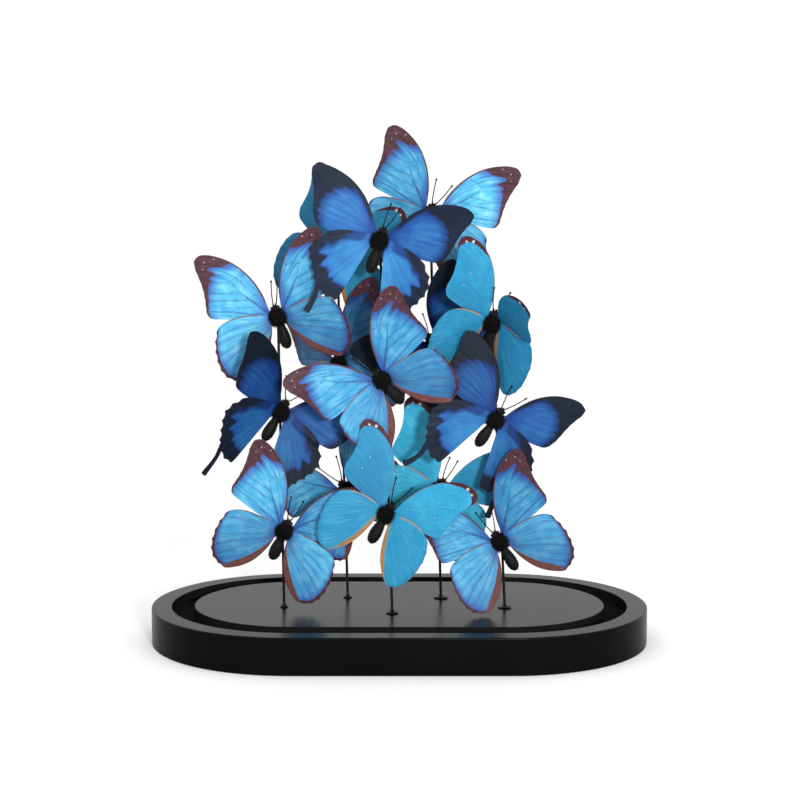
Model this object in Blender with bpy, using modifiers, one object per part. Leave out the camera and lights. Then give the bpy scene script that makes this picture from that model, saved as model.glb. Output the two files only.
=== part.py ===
"""Fifteen dried blue butterflies on five thin black rods, on an oval display base.

The base is a black lacquered slab in the shape of a stadium, with a flat rim, a
groove and a flush centre. The groove is the seat of a dome. Five rods stand in
the centre, each through a small flared foot, and each rod carries three set
butterflies, one above the other.

Metres in the file, millimetres in the constants. +Z up, +X right, the front of
the display looks towards -Y. The origin is the centre of the base's underside.
"""

import math

import bmesh
import bpy
from mathutils import Matrix, Vector

MM = 0.001

# Base
BASE_LENGTH = 350.0
BASE_DEPTH = 204.3
BASE_HEIGHT = 25.5
RIM_WIDTH = 14.1
GROOVE_WIDTH = 16.2
GROOVE_DEPTH = 8.0
EDGE_CHAMFER = 0.8
END_SEGMENTS = 20

# Rods and their feet
ROD_RADIUS = 0.95
ROD_SIDES = 8
SOCKET_DEPTH = 8.0
GAP = 0.3
FOOT_HEIGHT = 1.6
FOOT_SIDES = 8

# Rod: where it stands on the centre (x, y), where its top end is (x, y, height
# above the rim), and the radius of its foot.
RODS = {
    "1": ((-81.0, -12.0), (-84.6, -1.8, 207.0), 2.9),
    "2": ((-37.0, 18.0), (-44.3, 30.5, 249.0), 3.2),
    "3": ((-5.0, -31.0), (-13.4, -18.2, 259.0), 4.4),
    "4": ((30.0, 17.0), (21.8, 30.7, 276.0), 5.2),
    "5": ((74.0, -14.0), (64.3, -3.9, 202.0), 4.9),
}

# Butterfly
WING_THICKNESS = 0.6
HINGE_OUT = 4.4
HINGE_UP = 1.6
HINDWING_STEP = 0.35
FOREWING_PIVOT = 3.0
HINDWING_PIVOT = 0.0
ANTENNA_LENGTH = 16.0
ANTENNA_RADIUS = 0.3
BODY_SIDES = 8

# Outlines of the right wings, seen from above with the head up: x out from the
# body's middle, y towards the head. The leading edge runs out from the body, the
# outer edge runs back from the wing tip, and the inner edge returns to the body.
OUTLINES = {
    "morpho_fore": (
        [(4.2, 5), (7.3, 19), (13.5, 32), (23, 43), (34.5, 50), (43.5, 52)],
        [(48, 49), (48.3, 42.5), (47, 36), (46.2, 30), (46, 24), (46.4, 18), (46.8, 12.5), (44.5, 8)],
        [(34, 5.2), (20, 2.6), (5.2, 1)],
    ),
    "morpho_hind": (
        [(4.8, 2.5), (18, 4.6), (31, 4), (39, 1.2), (43, -3)],
        [(45.2, -9.5), (46.2, -16.5), (46, -23.5), (44.6, -30), (41.5, -35.5), (36.5, -38.8), (31, -40.5)],
        [(22, -36), (14, -28.5), (8.6, -19), (5.6, -10), (4.6, -2)],
    ),
    "turquoise_fore": (
        [(4, 5), (6.3, 16), (11.5, 28.5), (20, 39.5), (31, 47.3), (41, 49.6)],
        [(47.2, 47.8), (48.6, 42.6), (46, 37), (43.6, 31.2), (42.3, 25), (42, 18.6), (41.8, 12.5), (39, 7.5)],
        [(32, 5), (19, 2.6), (5, 1)],
    ),
    "turquoise_hind": (
        [(4.6, 2.5), (17, 4), (28, 2.6), (36, -2.5)],
        [(38.8, -9), (39.6, -16), (39, -23), (37.3, -30), (34, -36.5), (29.5, -41), (24, -42.3)],
        [(17, -37), (11, -29), (7.4, -20), (5, -9), (4.4, -2)],
    ),
    "swallowtail_fore": (
        [(4.2, 5), (9, 15.5), (17, 27), (28, 35.8), (40.5, 40.6), (50, 41.5)],
        [(55.6, 38.8), (55.3, 33), (53, 27), (51.3, 21), (50.2, 14.6), (49, 8.5), (46.8, 3.2), (43, 0)],
        [(30, -2), (17, -1.2), (5.2, 1)],
    ),
    "swallowtail_hind": (
        [(4.6, 2.5), (16, 1), (27, -1.8), (35.5, -6.5)],
        [(41, -13), (43.6, -20), (41.8, -27), (38.6, -33.3), (34.8, -39.3), (29.8, -45.2), (22.5, -48.8), (15, -48.6)],
        [(11.6, -37), (8.8, -24), (6.2, -12), (4.4, -2)],
    ),
}
# Middle line and half width of the tail on a swallowtail's hindwing.
TAIL = [(29.2, -50, 1.25), (29.6, -55, 1.3), (30.8, -62.5, 2.4), (31.1, -65.0, 1.4)]

# How finely each edge is drawn: leading, outer and inner edge.
SEGMENTS = {"fore": (6, 8, 3), "hind": (4, 6, 3)}

# The root of a wing reaches this far in, inside the thorax.
ROOT = {"fore": ((2.0, 4.0), (2.0, 1.6)), "hind": ((2.0, 1.8), (2.0, -1.4))}

# One row for each butterfly: kind, rod, x, y and height above the rim of the
# middle of the thorax, lean (head to the right), turn, nod (head forwards),
# lift of the left and right forewing, sweep of the left and right forewing,
# sweep of the left and right hindwing, size, extra lift of the left and right
# hindwing, and twist of the right forewing. Angles in degrees.
BUTTERFLIES = {
    "morpho_top": ("morpho", "4", 21.5, 22.9, 274.0, 18, 5, 8, 11, 8, 0, -3, 0, -1, 1.02, -5, 1, 0),
    "swallowtail_top": ("swallowtail", "3", -13.3, -27.0, 257.0, 19, -6, 3, 6, 10, -6, -2, 1, 2, 0.995, 0, 0, 0),
    "turquoise_top_back": ("turquoise", "2", -44.3, 23.7, 245.0, 22, -24, 9, -3, 16, 13, 0, 11, 12, 1.015, 7, -15, 0),
    "morpho_left": ("morpho", "1", -84.2, -9.5, 204.3, -16, -5, 7, 8, 3, 6, 2, 8, 7, 1.005, 2, 9, 0),
    "turquoise_right": ("turquoise", "5", 64.1, -12.5, 200.3, 12, -5, 15, 28, 52, 16, -13, 16, -5, 1.03, 4, -15, 34),
    "morpho_back": ("morpho", "2", -42.0, 19.0, 169.7, -16, -21, -3, -31, 1, -5, 4, 0, -1, 0.97, 0, -14, 0),
    "swallowtail_back": ("swallowtail", "4", 24.8, 16.2, 183.2, -42, 9, 20, 8, 21, 6, 9, -6, 8, 0.98, -5.5, 0, 0),
    "morpho_centre": ("morpho", "3", -12.5, -33.6, 163.0, -41, 0, 13, 8, 12, -6, -4, -3, -7, 0.99, -3, -3, 0),
    "swallowtail_left": ("swallowtail", "1", -82.7, -11.7, 138.2, 33, 17, -10, 22, 13, -3, -9, 1, 0, 0.985, 2, -4, 0),
    "swallowtail_right": ("swallowtail", "5", 66.3, -17.5, 133.6, 34, 9, 0, -1, -9, 3, 2, 3, 5, 0.97, 5, 5, 0),
    "morpho_bottom_left": ("morpho", "1", -79.9, -18.9, 55.9, 24, 1, 6, 4, 13, 4, 2, -4, -3, 0.995, -6, 3, 0),
    "turquoise_bottom": ("turquoise", "3", -8.7, -36.1, 70.6, 30, -13, 0, 13, 13, 3, -4, 0, 3, 0.995, -1, -1, 0),
    "morpho_bottom_right": ("morpho", "5", 69.5, -21.2, 48.4, -31, 3, -8, 22, 19, 0, -1, 4, -1, 0.975, -5, -4, 0),
    "morpho_bottom_back": ("morpho", "2", -37.7, 15.3, 78.7, -33, 3, 0, 24, 0, -3, -1, 1, 0, 0.975, 12, -14, 0),
    "turquoise_bottom_back": ("turquoise", "4", 28.3, 11.5, 79.2, 24, -8, 7, -1, 4, 4, -1, 11, 4, 1.04, 10, -1, 0),
}

# Spread of the left and right antenna from the body's line, in degrees.
ANTENNAE = {
    "morpho_top": (-10, 21),
    "swallowtail_top": (2, 18.5),
    "turquoise_top_back": (-18, 18),
    "morpho_left": (14, 21),
    "turquoise_right": (-8, 22),
    "morpho_back": (-18, 18),
    "swallowtail_back": (-18, 18),
    "morpho_centre": (-11, -3),
    "swallowtail_left": (-33, 27),
    "swallowtail_right": (-13, 26),
    "morpho_bottom_left": (-14, 8),
    "turquoise_bottom": (-17, 19),
    "morpho_bottom_right": (-9, 20),
    "morpho_bottom_back": (-20, 20),
    "turquoise_bottom_back": (-4, 9),
}

# How far a tail's tip is bent aside and back up, in its wing's plane.
TAIL_BEND = {("swallowtail_right", -1): (4.0, 1.8), ("swallowtail_top", -1): (0.0, 2.5)}

# Radius and distance along the body, from the front of the head to the tip of
# the abdomen.
BODY_PROFILE = [
    (0.0, 9.9),
    (2.2, 9.2),
    (3.0, 7.7),
    (3.3, 6.4),
    (4.6, 4.7),
    (5.1, 2.2),
    (5.0, -1.4),
    (4.0, -4.6),
    (2.6, -6.6),
    (3.3, -10.5),
    (3.8, -15.5),
    (3.2, -20.8),
    (0.0, -23.5),
]


for old in list(bpy.data.objects):
    bpy.data.objects.remove(old, do_unlink=True)

scene = bpy.context.scene
scene.unit_settings.system = "METRIC"
scene.unit_settings.scale_length = 1.0

parts = bpy.data.collections.new("mounted_butterflies")
helpers = bpy.data.collections.new("helpers")
scene.collection.children.link(parts)
scene.collection.children.link(helpers)


def material(name, colour, roughness, metallic=0.0):
    made = bpy.data.materials.new(name)
    made.use_nodes = True
    shader = made.node_tree.nodes["Principled BSDF"]
    shader.inputs["Base Color"].default_value = (*colour, 1.0)
    shader.inputs["Roughness"].default_value = roughness
    shader.inputs["Metallic"].default_value = metallic
    made.diffuse_color = (*colour, 1.0)
    return made


LACQUER = material("black_lacquer", (0.010, 0.010, 0.010), 0.32)
ROD_BLACK = material("black_rod", (0.008, 0.008, 0.008), 0.45, 0.3)
FOOT_BLACK = material("black_foot", (0.010, 0.010, 0.010), 0.40, 0.3)
WINGS = {
    "morpho": material("wing_blue_and_brown", (0.10, 0.42, 0.78), 0.45),
    "swallowtail": material("wing_blue_and_black", (0.04, 0.14, 0.50), 0.45),
    "turquoise": material("wing_turquoise", (0.06, 0.37, 0.62), 0.45),
}


def flat(name, loops, half_thickness, matrix=None):
    """A flat piece cut to closed outlines, in millimetres, as a closed mesh."""
    curve = bpy.data.curves.new(name, "CURVE")
    curve.dimensions = "2D"
    curve.fill_mode = "BOTH"
    curve.extrude = half_thickness * MM
    for loop in loops:
        spline = curve.splines.new("POLY")
        spline.points.add(len(loop) - 1)
        for point, (x, y) in zip(spline.points, loop):
            point.co = (x * MM, y * MM, 0.0, 1.0)
        spline.use_cyclic_u = True
    guide = bpy.data.objects.new(name + "_outline", curve)
    helpers.objects.link(guide)
    return to_mesh(name, guide, matrix or Matrix())


def to_mesh(name, guide, matrix):
    """The curve as a welded mesh object, placed by the matrix."""
    bpy.context.view_layer.update()
    graph = bpy.context.evaluated_depsgraph_get()
    mesh = bpy.data.meshes.new_from_object(guide.evaluated_get(graph))
    mesh.name = name
    bpy.data.objects.remove(guide, do_unlink=True)
    weld(mesh)
    made = bpy.data.objects.new(name, mesh)
    made.matrix_world = matrix
    helpers.objects.link(made)
    hide(made)
    return made


def weld(mesh):
    work = bmesh.new()
    work.from_mesh(mesh)
    bmesh.ops.remove_doubles(work, verts=work.verts, dist=2e-6)
    bmesh.ops.dissolve_degenerate(work, edges=work.edges, dist=1e-6)
    bmesh.ops.recalc_face_normals(work, faces=work.faces)
    work.to_mesh(mesh)
    work.free()


def hide(helper):
    helper.hide_render = True
    helper.display_type = "WIRE"


def show(piece, colour):
    """Moves a finished object to the parts, with its material."""
    for collection in list(piece.users_collection):
        collection.objects.unlink(piece)
    parts.objects.link(piece)
    piece.hide_render = False
    piece.display_type = "TEXTURED"
    piece.data.materials.clear()
    piece.data.materials.append(colour)
    return piece


def combine(target, others, operation):
    """Joins or cuts the target with the others, and keeps the result as its mesh."""
    for other in others:
        step = target.modifiers.new(operation.lower(), "BOOLEAN")
        step.operation = operation
        step.object = other
        step.solver = "EXACT"
    bpy.context.view_layer.update()
    graph = bpy.context.evaluated_depsgraph_get()
    mesh = bpy.data.meshes.new_from_object(target.evaluated_get(graph))
    target.modifiers.clear()
    target.data = mesh
    for other in others:
        bpy.data.objects.remove(other, do_unlink=True)
    weld(mesh)
    return target


def turned(name, profile, sides, matrix, closed):
    """A profile of (radius, height), in millimetres, turned about its own Z."""
    mesh = bpy.data.meshes.new(name)
    points = [(r * MM, 0.0, z * MM) for r, z in profile]
    edges = [(i, i + 1) for i in range(len(points) - 1)]
    if closed:
        edges.append((len(points) - 1, 0))
    mesh.from_pydata(points, edges, [])
    made = bpy.data.objects.new(name, mesh)
    helpers.objects.link(made)
    screw = made.modifiers.new("turn", "SCREW")
    screw.axis = "Z"
    screw.angle = 2 * math.pi
    screw.steps = sides
    screw.render_steps = sides
    screw.use_merge_vertices = True
    screw.merge_threshold = 0.00001
    screw.use_smooth_shade = False
    bpy.context.view_layer.update()
    graph = bpy.context.evaluated_depsgraph_get()
    baked = bpy.data.meshes.new_from_object(made.evaluated_get(graph))
    made.modifiers.clear()
    made.data = baked
    weld(baked)
    made.matrix_world = matrix
    return made


def stadium(length, depth, segments=END_SEGMENTS):
    """The outline of a straight-sided oval with half-round ends."""
    radius = depth / 2
    half = length / 2 - radius
    outline = []
    for side, start in ((1, -90), (-1, 90)):
        for i in range(segments + 1):
            angle = math.radians(start + 180 * i / segments)
            outline.append((side * half + radius * math.cos(angle), radius * math.sin(angle)))
    return outline


def make_base():
    middle = Matrix.Translation((0, 0, BASE_HEIGHT / 2 * MM))
    base = flat("base", [stadium(BASE_LENGTH, BASE_DEPTH)], BASE_HEIGHT / 2, middle)

    outer = 2 * RIM_WIDTH
    inner = 2 * (RIM_WIDTH + GROOVE_WIDTH)
    reach = 4.0
    groove = flat(
        "groove",
        [stadium(BASE_LENGTH - outer, BASE_DEPTH - outer), stadium(BASE_LENGTH - inner, BASE_DEPTH - inner)],
        (GROOVE_DEPTH + reach) / 2,
        Matrix.Translation((0, 0, (BASE_HEIGHT - GROOVE_DEPTH + (GROOVE_DEPTH + reach) / 2) * MM)),
    )
    sockets = []
    for rod, (foot, top, _) in RODS.items():
        sockets.append(
            turned(
                "socket_" + rod,
                rod_profile(ROD_RADIUS + GAP, -SOCKET_DEPTH - GAP, 6.0),
                ROD_SIDES,
                along(Vector((*foot, BASE_HEIGHT)), Vector((top[0], top[1], BASE_HEIGHT + top[2]))),
                False,
            )
        )
    base = combine(base, [groove] + sockets, "DIFFERENCE")
    edge = base.modifiers.new("edges", "BEVEL")
    edge.width = EDGE_CHAMFER * MM
    edge.segments = 1
    edge.limit_method = "WEIGHT"
    weight_outer_edges(base.data)
    return show(base, LACQUER)


def weight_outer_edges(mesh):
    """Marks the top and bottom edges of the outer wall for the chamfer."""
    weights = mesh.attributes.new("bevel_weight_edge", "FLOAT", "EDGE")
    radius = BASE_DEPTH / 2 * MM
    half = BASE_LENGTH / 2 * MM - radius
    tall = BASE_HEIGHT * MM
    for i, edge in enumerate(mesh.edges):
        ends = [mesh.vertices[v].co for v in edge.vertices]
        on_wall = all(
            abs(math.hypot(max(abs(p.x) - half, 0.0), p.y) - radius) < 2e-4 for p in ends
        )
        level = abs(ends[0].z - ends[1].z) < 1e-6
        on_rim = min(abs(ends[0].z), abs(ends[0].z - tall)) < 1e-5
        weights.data[i].value = 1.0 if on_wall and level and on_rim else 0.0


def along(start, end):
    """Places a turned piece's Z on the line from start to end, in millimetres."""
    turn = (end - start).to_track_quat("Z", "Y").to_matrix().to_4x4()
    return Matrix.Translation(start * MM) @ turn


def rod_profile(radius, low, high):
    return [(0.0, high), (radius, high), (radius, low), (0.0, low)]


def rod_line(rod):
    foot, top, _ = RODS[rod]
    return Vector((*foot, BASE_HEIGHT)), Vector((top[0], top[1], BASE_HEIGHT + top[2]))


def make_rod(rod):
    start, end = rod_line(rod)
    length = (end - start).length
    made = turned(
        "rod_" + rod, rod_profile(ROD_RADIUS, -SOCKET_DEPTH, length), ROD_SIDES, along(start, end), False
    )
    return show(made, ROD_BLACK)


def make_foot(rod):
    """A flared ring round the rod, just above the base."""
    start, end = rod_line(rod)
    bore = ROD_RADIUS + GAP + 0.1
    low = GAP + 0.2 * RODS[rod][2] / 3
    wide = RODS[rod][2]
    profile = [
        (bore, low + FOOT_HEIGHT),
        (bore + 0.9, low + FOOT_HEIGHT),
        (wide, low + 0.5),
        (wide, low),
        (bore, low),
    ]
    made = turned("foot_" + rod, profile, FOOT_SIDES, along(start, end), True)
    return show(made, FOOT_BLACK)


def smooth(points, count):
    """A smooth line through the points, as that many equal steps of its length."""
    ends = [Vector(p) for p in points]
    ends = [2 * ends[0] - ends[1]] + ends + [2 * ends[-1] - ends[-2]]
    fine = []
    for i in range(1, len(ends) - 2):
        a, b, c, d = ends[i - 1 : i + 3]
        for k in range(12):
            t = k / 12
            fine.append(
                0.5 * (2 * b + (c - a) * t + (2 * a - 5 * b + 4 * c - d) * t * t + (3 * b - a - 3 * c + d) * t**3)
            )
    fine.append(ends[-2])
    lengths = [0.0]
    for a, b in zip(fine, fine[1:]):
        lengths.append(lengths[-1] + (b - a).length)
    line = []
    for k in range(count + 1):
        want = lengths[-1] * k / count
        i = 0
        while i < len(lengths) - 2 and lengths[i + 1] < want:
            i += 1
        t = (want - lengths[i]) / (lengths[i + 1] - lengths[i])
        line.append(fine[i].lerp(fine[i + 1], t))
    return line


def wing_outline(kind, pair, bend):
    """The closed outline of one right wing, starting at its root."""
    leading, outer, inner = OUTLINES[kind + "_" + pair]
    count = SEGMENTS[pair]
    front = smooth(leading, count[0])
    edge = smooth([leading[-1]] + outer, count[1])
    back = smooth([outer[-1]] + inner, count[2])
    if kind == "swallowtail" and pair == "hind":
        edge = with_tail(edge, bend)
    root = [Vector(p) for p in ROOT[pair]]
    return front + edge[1:] + back[1:] + [root[1], root[0]]


def with_tail(edge, bend):
    """Puts the tail into the outer edge, where that edge passes its root."""
    root = Vector((29.8, -45.2))
    before = [p for p in edge if p.y > root.y + 1.5 and p.x > 15]
    after = [p for p in edge if p.x < root.x - 1.5 and p.y < -40]
    line = []
    for x, y, w in TAIL:
        share = ((-44.5 - y) / 20.5) ** 1.6
        line.append((x + bend[0] * share, y + bend[1] * share, w))
    going = [Vector((x + w, y)) for x, y, w in line]
    coming = [Vector((x - w, y)) for x, y, w in reversed(line)]
    return before + [Vector((31.6, -43.9))] + going + coming + [Vector((28.0, -46.6))] + after


def wing_matrix(side, pair, sweep, lift, twist, size):
    """Places a wing on the body: swept in its plane, twisted, then lifted."""
    pivot = FOREWING_PIVOT if pair == "fore" else HINDWING_PIVOT
    up = HINGE_UP + (0.0 if pair == "fore" else HINDWING_STEP)
    hinge = Matrix.Translation(Vector((side * HINGE_OUT, pivot, up)) * size * MM)
    back = Matrix.Translation(Vector((-side * HINGE_OUT, -pivot, 0.0)) * size * MM)
    lifted = Matrix.Rotation(math.radians(-side * lift), 4, "Y")
    twisted = Matrix.Rotation(math.radians(twist), 4, "X")
    swept = Matrix.Rotation(math.radians(side * sweep), 4, "Z")
    return hinge @ lifted @ twisted @ swept @ back


# From wing axes (out, towards the head, up from the back) to the body's own
# (+X right, +Z towards the head, -Y up from the back).
TO_BODY = Matrix(((1, 0, 0, 0), (0, 0, -1, 0), (0, 1, 0, 0), (0, 0, 0, 1)))


def body_place(row):
    _, _, x, y, height, lean, turn, nod = row[:8]
    place = Matrix.Translation(Vector((x, y, height + BASE_HEIGHT)) * MM)
    return (
        place
        @ Matrix.Rotation(math.radians(lean), 4, "Y")
        @ Matrix.Rotation(math.radians(turn), 4, "Z")
        @ Matrix.Rotation(math.radians(nod), 4, "X")
    )


def reach_to_rod(row):
    """How deep the thorax is under the wings, so that its underside meets the rod."""
    _, rod, x, y, height = row[:5]
    foot, top, _ = RODS[rod]
    part = height / top[2]
    rod_y = foot[1] + (top[1] - foot[1]) * part
    return rod_y - y - ROD_RADIUS - GAP - 0.25


def make_body(name, row, size, place):
    """Head, thorax and abdomen as one turned form, deeper under the thorax."""
    body = turned(name, [(r * size, z * size) for r, z in BODY_PROFILE], BODY_SIDES, place, False)
    deep = reach_to_rod(row) / (5.0 * size)
    for vertex in body.data.vertices:
        along_body = vertex.co.z / MM / size
        if vertex.co.y > 0 and -5.5 < along_body < 6.0:
            share = math.cos(math.pi / 2 * (along_body - 0.5) / 6.2) ** 2
            vertex.co.y *= 1 + (max(deep, 1.0) - 1) * share
        if along_body < -8:
            vertex.co.y += 0.0012 * ((along_body + 8) / 20) ** 2
    return body


def make_antenna(name, side, angle, size, place):
    curve = bpy.data.curves.new(name, "CURVE")
    curve.dimensions = "3D"
    curve.bevel_depth = ANTENNA_RADIUS * MM
    curve.bevel_resolution = 0
    curve.use_fill_caps = True
    spline = curve.splines.new("POLY")
    root = Vector((side * 0.9, -0.6, 8.7)) * size
    out = Vector((math.sin(math.radians(angle)), -0.22, math.cos(math.radians(angle))))
    tip = root + out * (ANTENNA_LENGTH + 2.2)
    points = [root, root.lerp(tip, 0.5) + Vector((side * 0.4, -0.3, 0)), tip]
    spline.points.add(len(points) - 1)
    for point, co, width in zip(spline.points, points, (0.9, 0.8, 1.5)):
        point.co = (*(co * MM), 1.0)
        point.radius = width
    guide = bpy.data.objects.new(name + "_line", curve)
    helpers.objects.link(guide)
    return to_mesh(name, guide, place)


def make_butterfly(name, row):
    kind, size, twist = row[0], row[14], row[17]
    lifts = {"fore": row[8:10], "hind": (row[8] + row[15], row[9] + row[16])}
    sweeps = {"fore": row[10:12], "hind": row[12:14]}
    place = body_place(row)
    body = make_body(name, row, size, place)
    joined = []
    for index, side in enumerate((-1, 1)):
        for pair in ("fore", "hind"):
            bend = TAIL_BEND.get((name, side), (0.0, 0.0))
            outline = [(side * p.x * size, p.y * size) for p in wing_outline(kind, pair, bend)]
            turned_forewing = twist if (pair == "fore" and side == 1) else 0
            matrix = place @ TO_BODY @ wing_matrix(
                side, pair, sweeps[pair][index], lifts[pair][index], turned_forewing, size
            )
            joined.append(flat("%s_%s_%d" % (name, pair, index), [outline], WING_THICKNESS / 2, matrix))
    for index, side in enumerate((-1, 1)):
        joined.append(make_antenna("%s_antenna_%d" % (name, index), side, ANTENNAE[name][index], size, place))
    return show(combine(body, joined, "UNION"), WINGS[kind])


make_base()
for rod in RODS:
    make_rod(rod)
    make_foot(rod)
for name, row in BUTTERFLIES.items():
    make_butterfly(name, row)

for left in list(helpers.objects):
    bpy.data.objects.remove(left, do_unlink=True)
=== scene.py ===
"""The looks of fifteen dried blue butterflies on five black rods on an oval base.

Lengths below are in millimetres, as in the model's own table of butterflies, and
become metres where a mesh is made. +Z up, +X right, the front faces -Y.
"""

import math

import bpy
import numpy as np
from mathutils import Matrix, Vector


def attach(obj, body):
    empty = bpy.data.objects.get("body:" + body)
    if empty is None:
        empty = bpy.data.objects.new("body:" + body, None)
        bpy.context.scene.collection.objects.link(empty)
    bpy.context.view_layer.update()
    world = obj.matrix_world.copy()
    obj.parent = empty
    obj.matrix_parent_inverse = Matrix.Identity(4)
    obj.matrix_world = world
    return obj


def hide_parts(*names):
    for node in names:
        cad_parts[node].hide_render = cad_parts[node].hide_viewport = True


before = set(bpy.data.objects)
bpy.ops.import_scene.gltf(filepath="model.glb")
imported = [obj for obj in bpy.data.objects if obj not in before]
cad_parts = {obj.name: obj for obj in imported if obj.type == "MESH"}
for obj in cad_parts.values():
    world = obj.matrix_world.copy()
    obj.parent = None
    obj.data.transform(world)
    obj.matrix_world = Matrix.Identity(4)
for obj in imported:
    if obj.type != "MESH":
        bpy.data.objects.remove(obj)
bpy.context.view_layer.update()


MM = 0.001

# ---------------------------------------------------------------- the display

BASE_LENGTH, BASE_DEPTH, BASE_HEIGHT = 350.0, 204.3, 25.5
RIM_WIDTH, GROOVE_WIDTH, GROOVE_DEPTH = 14.1, 16.2, 8.0
ROD_RADIUS, SOCKET_DEPTH = 0.95, 7.5

RODS = {
    "1": ((-81.0, -12.0), (-84.6, -1.8, 207.0), 2.9),
    "2": ((-37.0, 18.0), (-44.3, 30.5, 249.0), 3.2),
    "3": ((-5.0, -31.0), (-13.4, -18.2, 259.0), 4.4),
    "4": ((30.0, 17.0), (21.8, 30.7, 276.0), 5.2),
    "5": ((74.0, -14.0), (64.3, -3.9, 202.0), 4.9),
}

# Right wings from above, head up: leading edge, outer edge, inner edge, and how
# deep the outer edge curves in between two veins.
OUTLINES = {
    "morpho_fore": (
        [(4.2, 5), (7.3, 19), (13.5, 32), (23, 43), (34.5, 50), (43.5, 52)],
        [(48, 49), (48.3, 42.5), (47, 36), (46.2, 30), (46, 24), (46.4, 18), (46.8, 12.5), (44.5, 8)],
        [(34, 5.2), (20, 2.6), (5.2, 1)],
        0.25,
    ),
    "morpho_hind": (
        [(4.8, 2.5), (18, 4.6), (31, 4), (39, 1.2), (43, -3)],
        [(45.2, -9.5), (46.2, -16.5), (46, -23.5), (44.6, -30), (41.5, -35.5), (36.5, -38.8), (31, -40.5)],
        [(22, -36), (14, -28.5), (8.6, -19), (5.6, -10), (4.6, -2)],
        0.9,
    ),
    "turquoise_fore": (
        [(4, 5), (6.3, 16), (11.5, 28.5), (20, 39.5), (31, 47.3), (41, 49.6)],
        [(47.2, 47.8), (48.6, 42.6), (46, 37), (43.6, 31.2), (42.3, 25), (42, 18.6), (41.8, 12.5), (39, 7.5)],
        [(32, 5), (19, 2.6), (5, 1)],
        0.0,
    ),
    "turquoise_hind": (
        [(4.6, 2.5), (17, 4), (28, 2.6), (36, -2.5)],
        [(38.8, -9), (39.6, -16), (39, -23), (37.3, -30), (34, -36.5), (29.5, -41), (24, -42.3)],
        [(17, -37), (11, -29), (7.4, -20), (5, -9), (4.4, -2)],
        0.45,
    ),
    "swallowtail_fore": (
        [(4.2, 5), (9, 15.5), (17, 27), (28, 35.8), (40.5, 40.6), (50, 41.5)],
        [(55.6, 38.8), (55.3, 33), (53, 27), (51.3, 21), (50.2, 14.6), (49, 8.5), (46.8, 3.2), (43, 0)],
        [(30, -2), (17, -1.2), (5.2, 1)],
        0.25,
    ),
    "swallowtail_hind": (
        [(4.6, 2.5), (16, 1), (27, -1.8), (35.5, -6.5)],
        [(41, -13), (43.6, -20), (41.8, -27), (38.6, -33.3), (34.8, -39.3), (29.8, -45.2), (22.5, -48.8), (15, -48.6)],
        [(11.6, -37), (8.8, -24), (6.2, -12), (4.4, -2)],
        1.7,
    ),
}

# Middle line and half width of a swallowtail's tail, from inside the wing out.
TAIL = [
    (30.6, -39.5, 2.0),
    (29.9, -44.5, 1.9),
    (29.2, -50, 1.7),
    (29.6, -55, 1.8),
    (30.2, -59, 2.0),
    (30.8, -62.5, 2.25),
    (31.1, -64.6, 2.3),
]

HINGE_OUT, HINGE_UP, HINDWING_STEP = 4.4, 1.6, 0.35
FOREWING_PIVOT, HINDWING_PIVOT = 3.0, 0.0

# Kind, rod, x, y, height above the rim, lean, turn, nod, lifts of the forewings
# (left, right), their sweeps, sweeps of the hindwings, size, extra lifts of the
# hindwings, and twist of the right forewing.
BUTTERFLIES = {
    "morpho_top": ("morpho", "4", 21.5, 22.9, 274.0, 18, 5, 8, 11, 8, 0, -3, 0, -1, 1.02, -5, 1, 0),
    "swallowtail_top": ("swallowtail", "3", -13.3, -27.0, 257.0, 19, -6, 3, 6, 10, -6, -2, 1, 2, 0.995, 0, 0, 0),
    "turquoise_top_back": ("turquoise", "2", -44.3, 23.7, 245.0, 22, -24, 9, -3, 16, 13, 0, 11, 12, 1.015, 7, -15, 0),
    "morpho_left": ("morpho", "1", -84.2, -9.5, 204.3, -16, -5, 7, 8, 3, 6, 2, 8, 7, 1.005, 2, 9, 0),
    "turquoise_right": ("turquoise", "5", 64.1, -12.5, 200.3, 12, -5, 15, 28, 52, 16, -13, 16, -5, 1.03, 4, -15, 34),
    "morpho_back": ("morpho", "2", -42.0, 19.0, 169.7, -16, -21, -3, -31, 1, -5, 4, 0, -1, 0.97, 0, -14, 0),
    "swallowtail_back": ("swallowtail", "4", 24.8, 16.2, 183.2, -42, 9, 20, 8, 21, 6, 9, -6, 8, 0.98, -5.5, 0, 0),
    "morpho_centre": ("morpho", "3", -12.5, -33.6, 163.0, -41, 0, 13, 8, 12, -6, -4, -3, -7, 0.99, -3, -3, 0),
    "swallowtail_left": ("swallowtail", "1", -82.7, -11.7, 138.2, 33, 17, -10, 22, 13, -3, -9, 1, 0, 0.985, 2, -4, 0),
    "swallowtail_right": ("swallowtail", "5", 66.3, -17.5, 133.6, 34, 9, 0, -1, -9, 3, 2, 3, 5, 0.97, 5, 5, 0),
    "morpho_bottom_left": ("morpho", "1", -79.9, -18.9, 55.9, 24, 1, 6, 4, 13, 4, 2, -4, -3, 0.995, -6, 3, 0),
    "turquoise_bottom": ("turquoise", "3", -8.7, -36.1, 70.6, 30, -13, 0, 13, 13, 3, -4, 0, 3, 0.995, -1, -1, 0),
    "morpho_bottom_right": ("morpho", "5", 69.5, -21.2, 48.4, -31, 3, -8, 22, 19, 0, -1, 4, -1, 0.975, -5, -4, 0),
    "morpho_bottom_back": ("morpho", "2", -37.7, 15.3, 78.7, -33, 3, 0, 24, 0, -3, -1, 1, 0, 0.975, 12, -14, 0),
    "turquoise_bottom_back": ("turquoise", "4", 28.3, 11.5, 79.2, 24, -8, 7, -1, 4, 4, -1, 11, 4, 1.04, 10, -1, 0),
}

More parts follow.
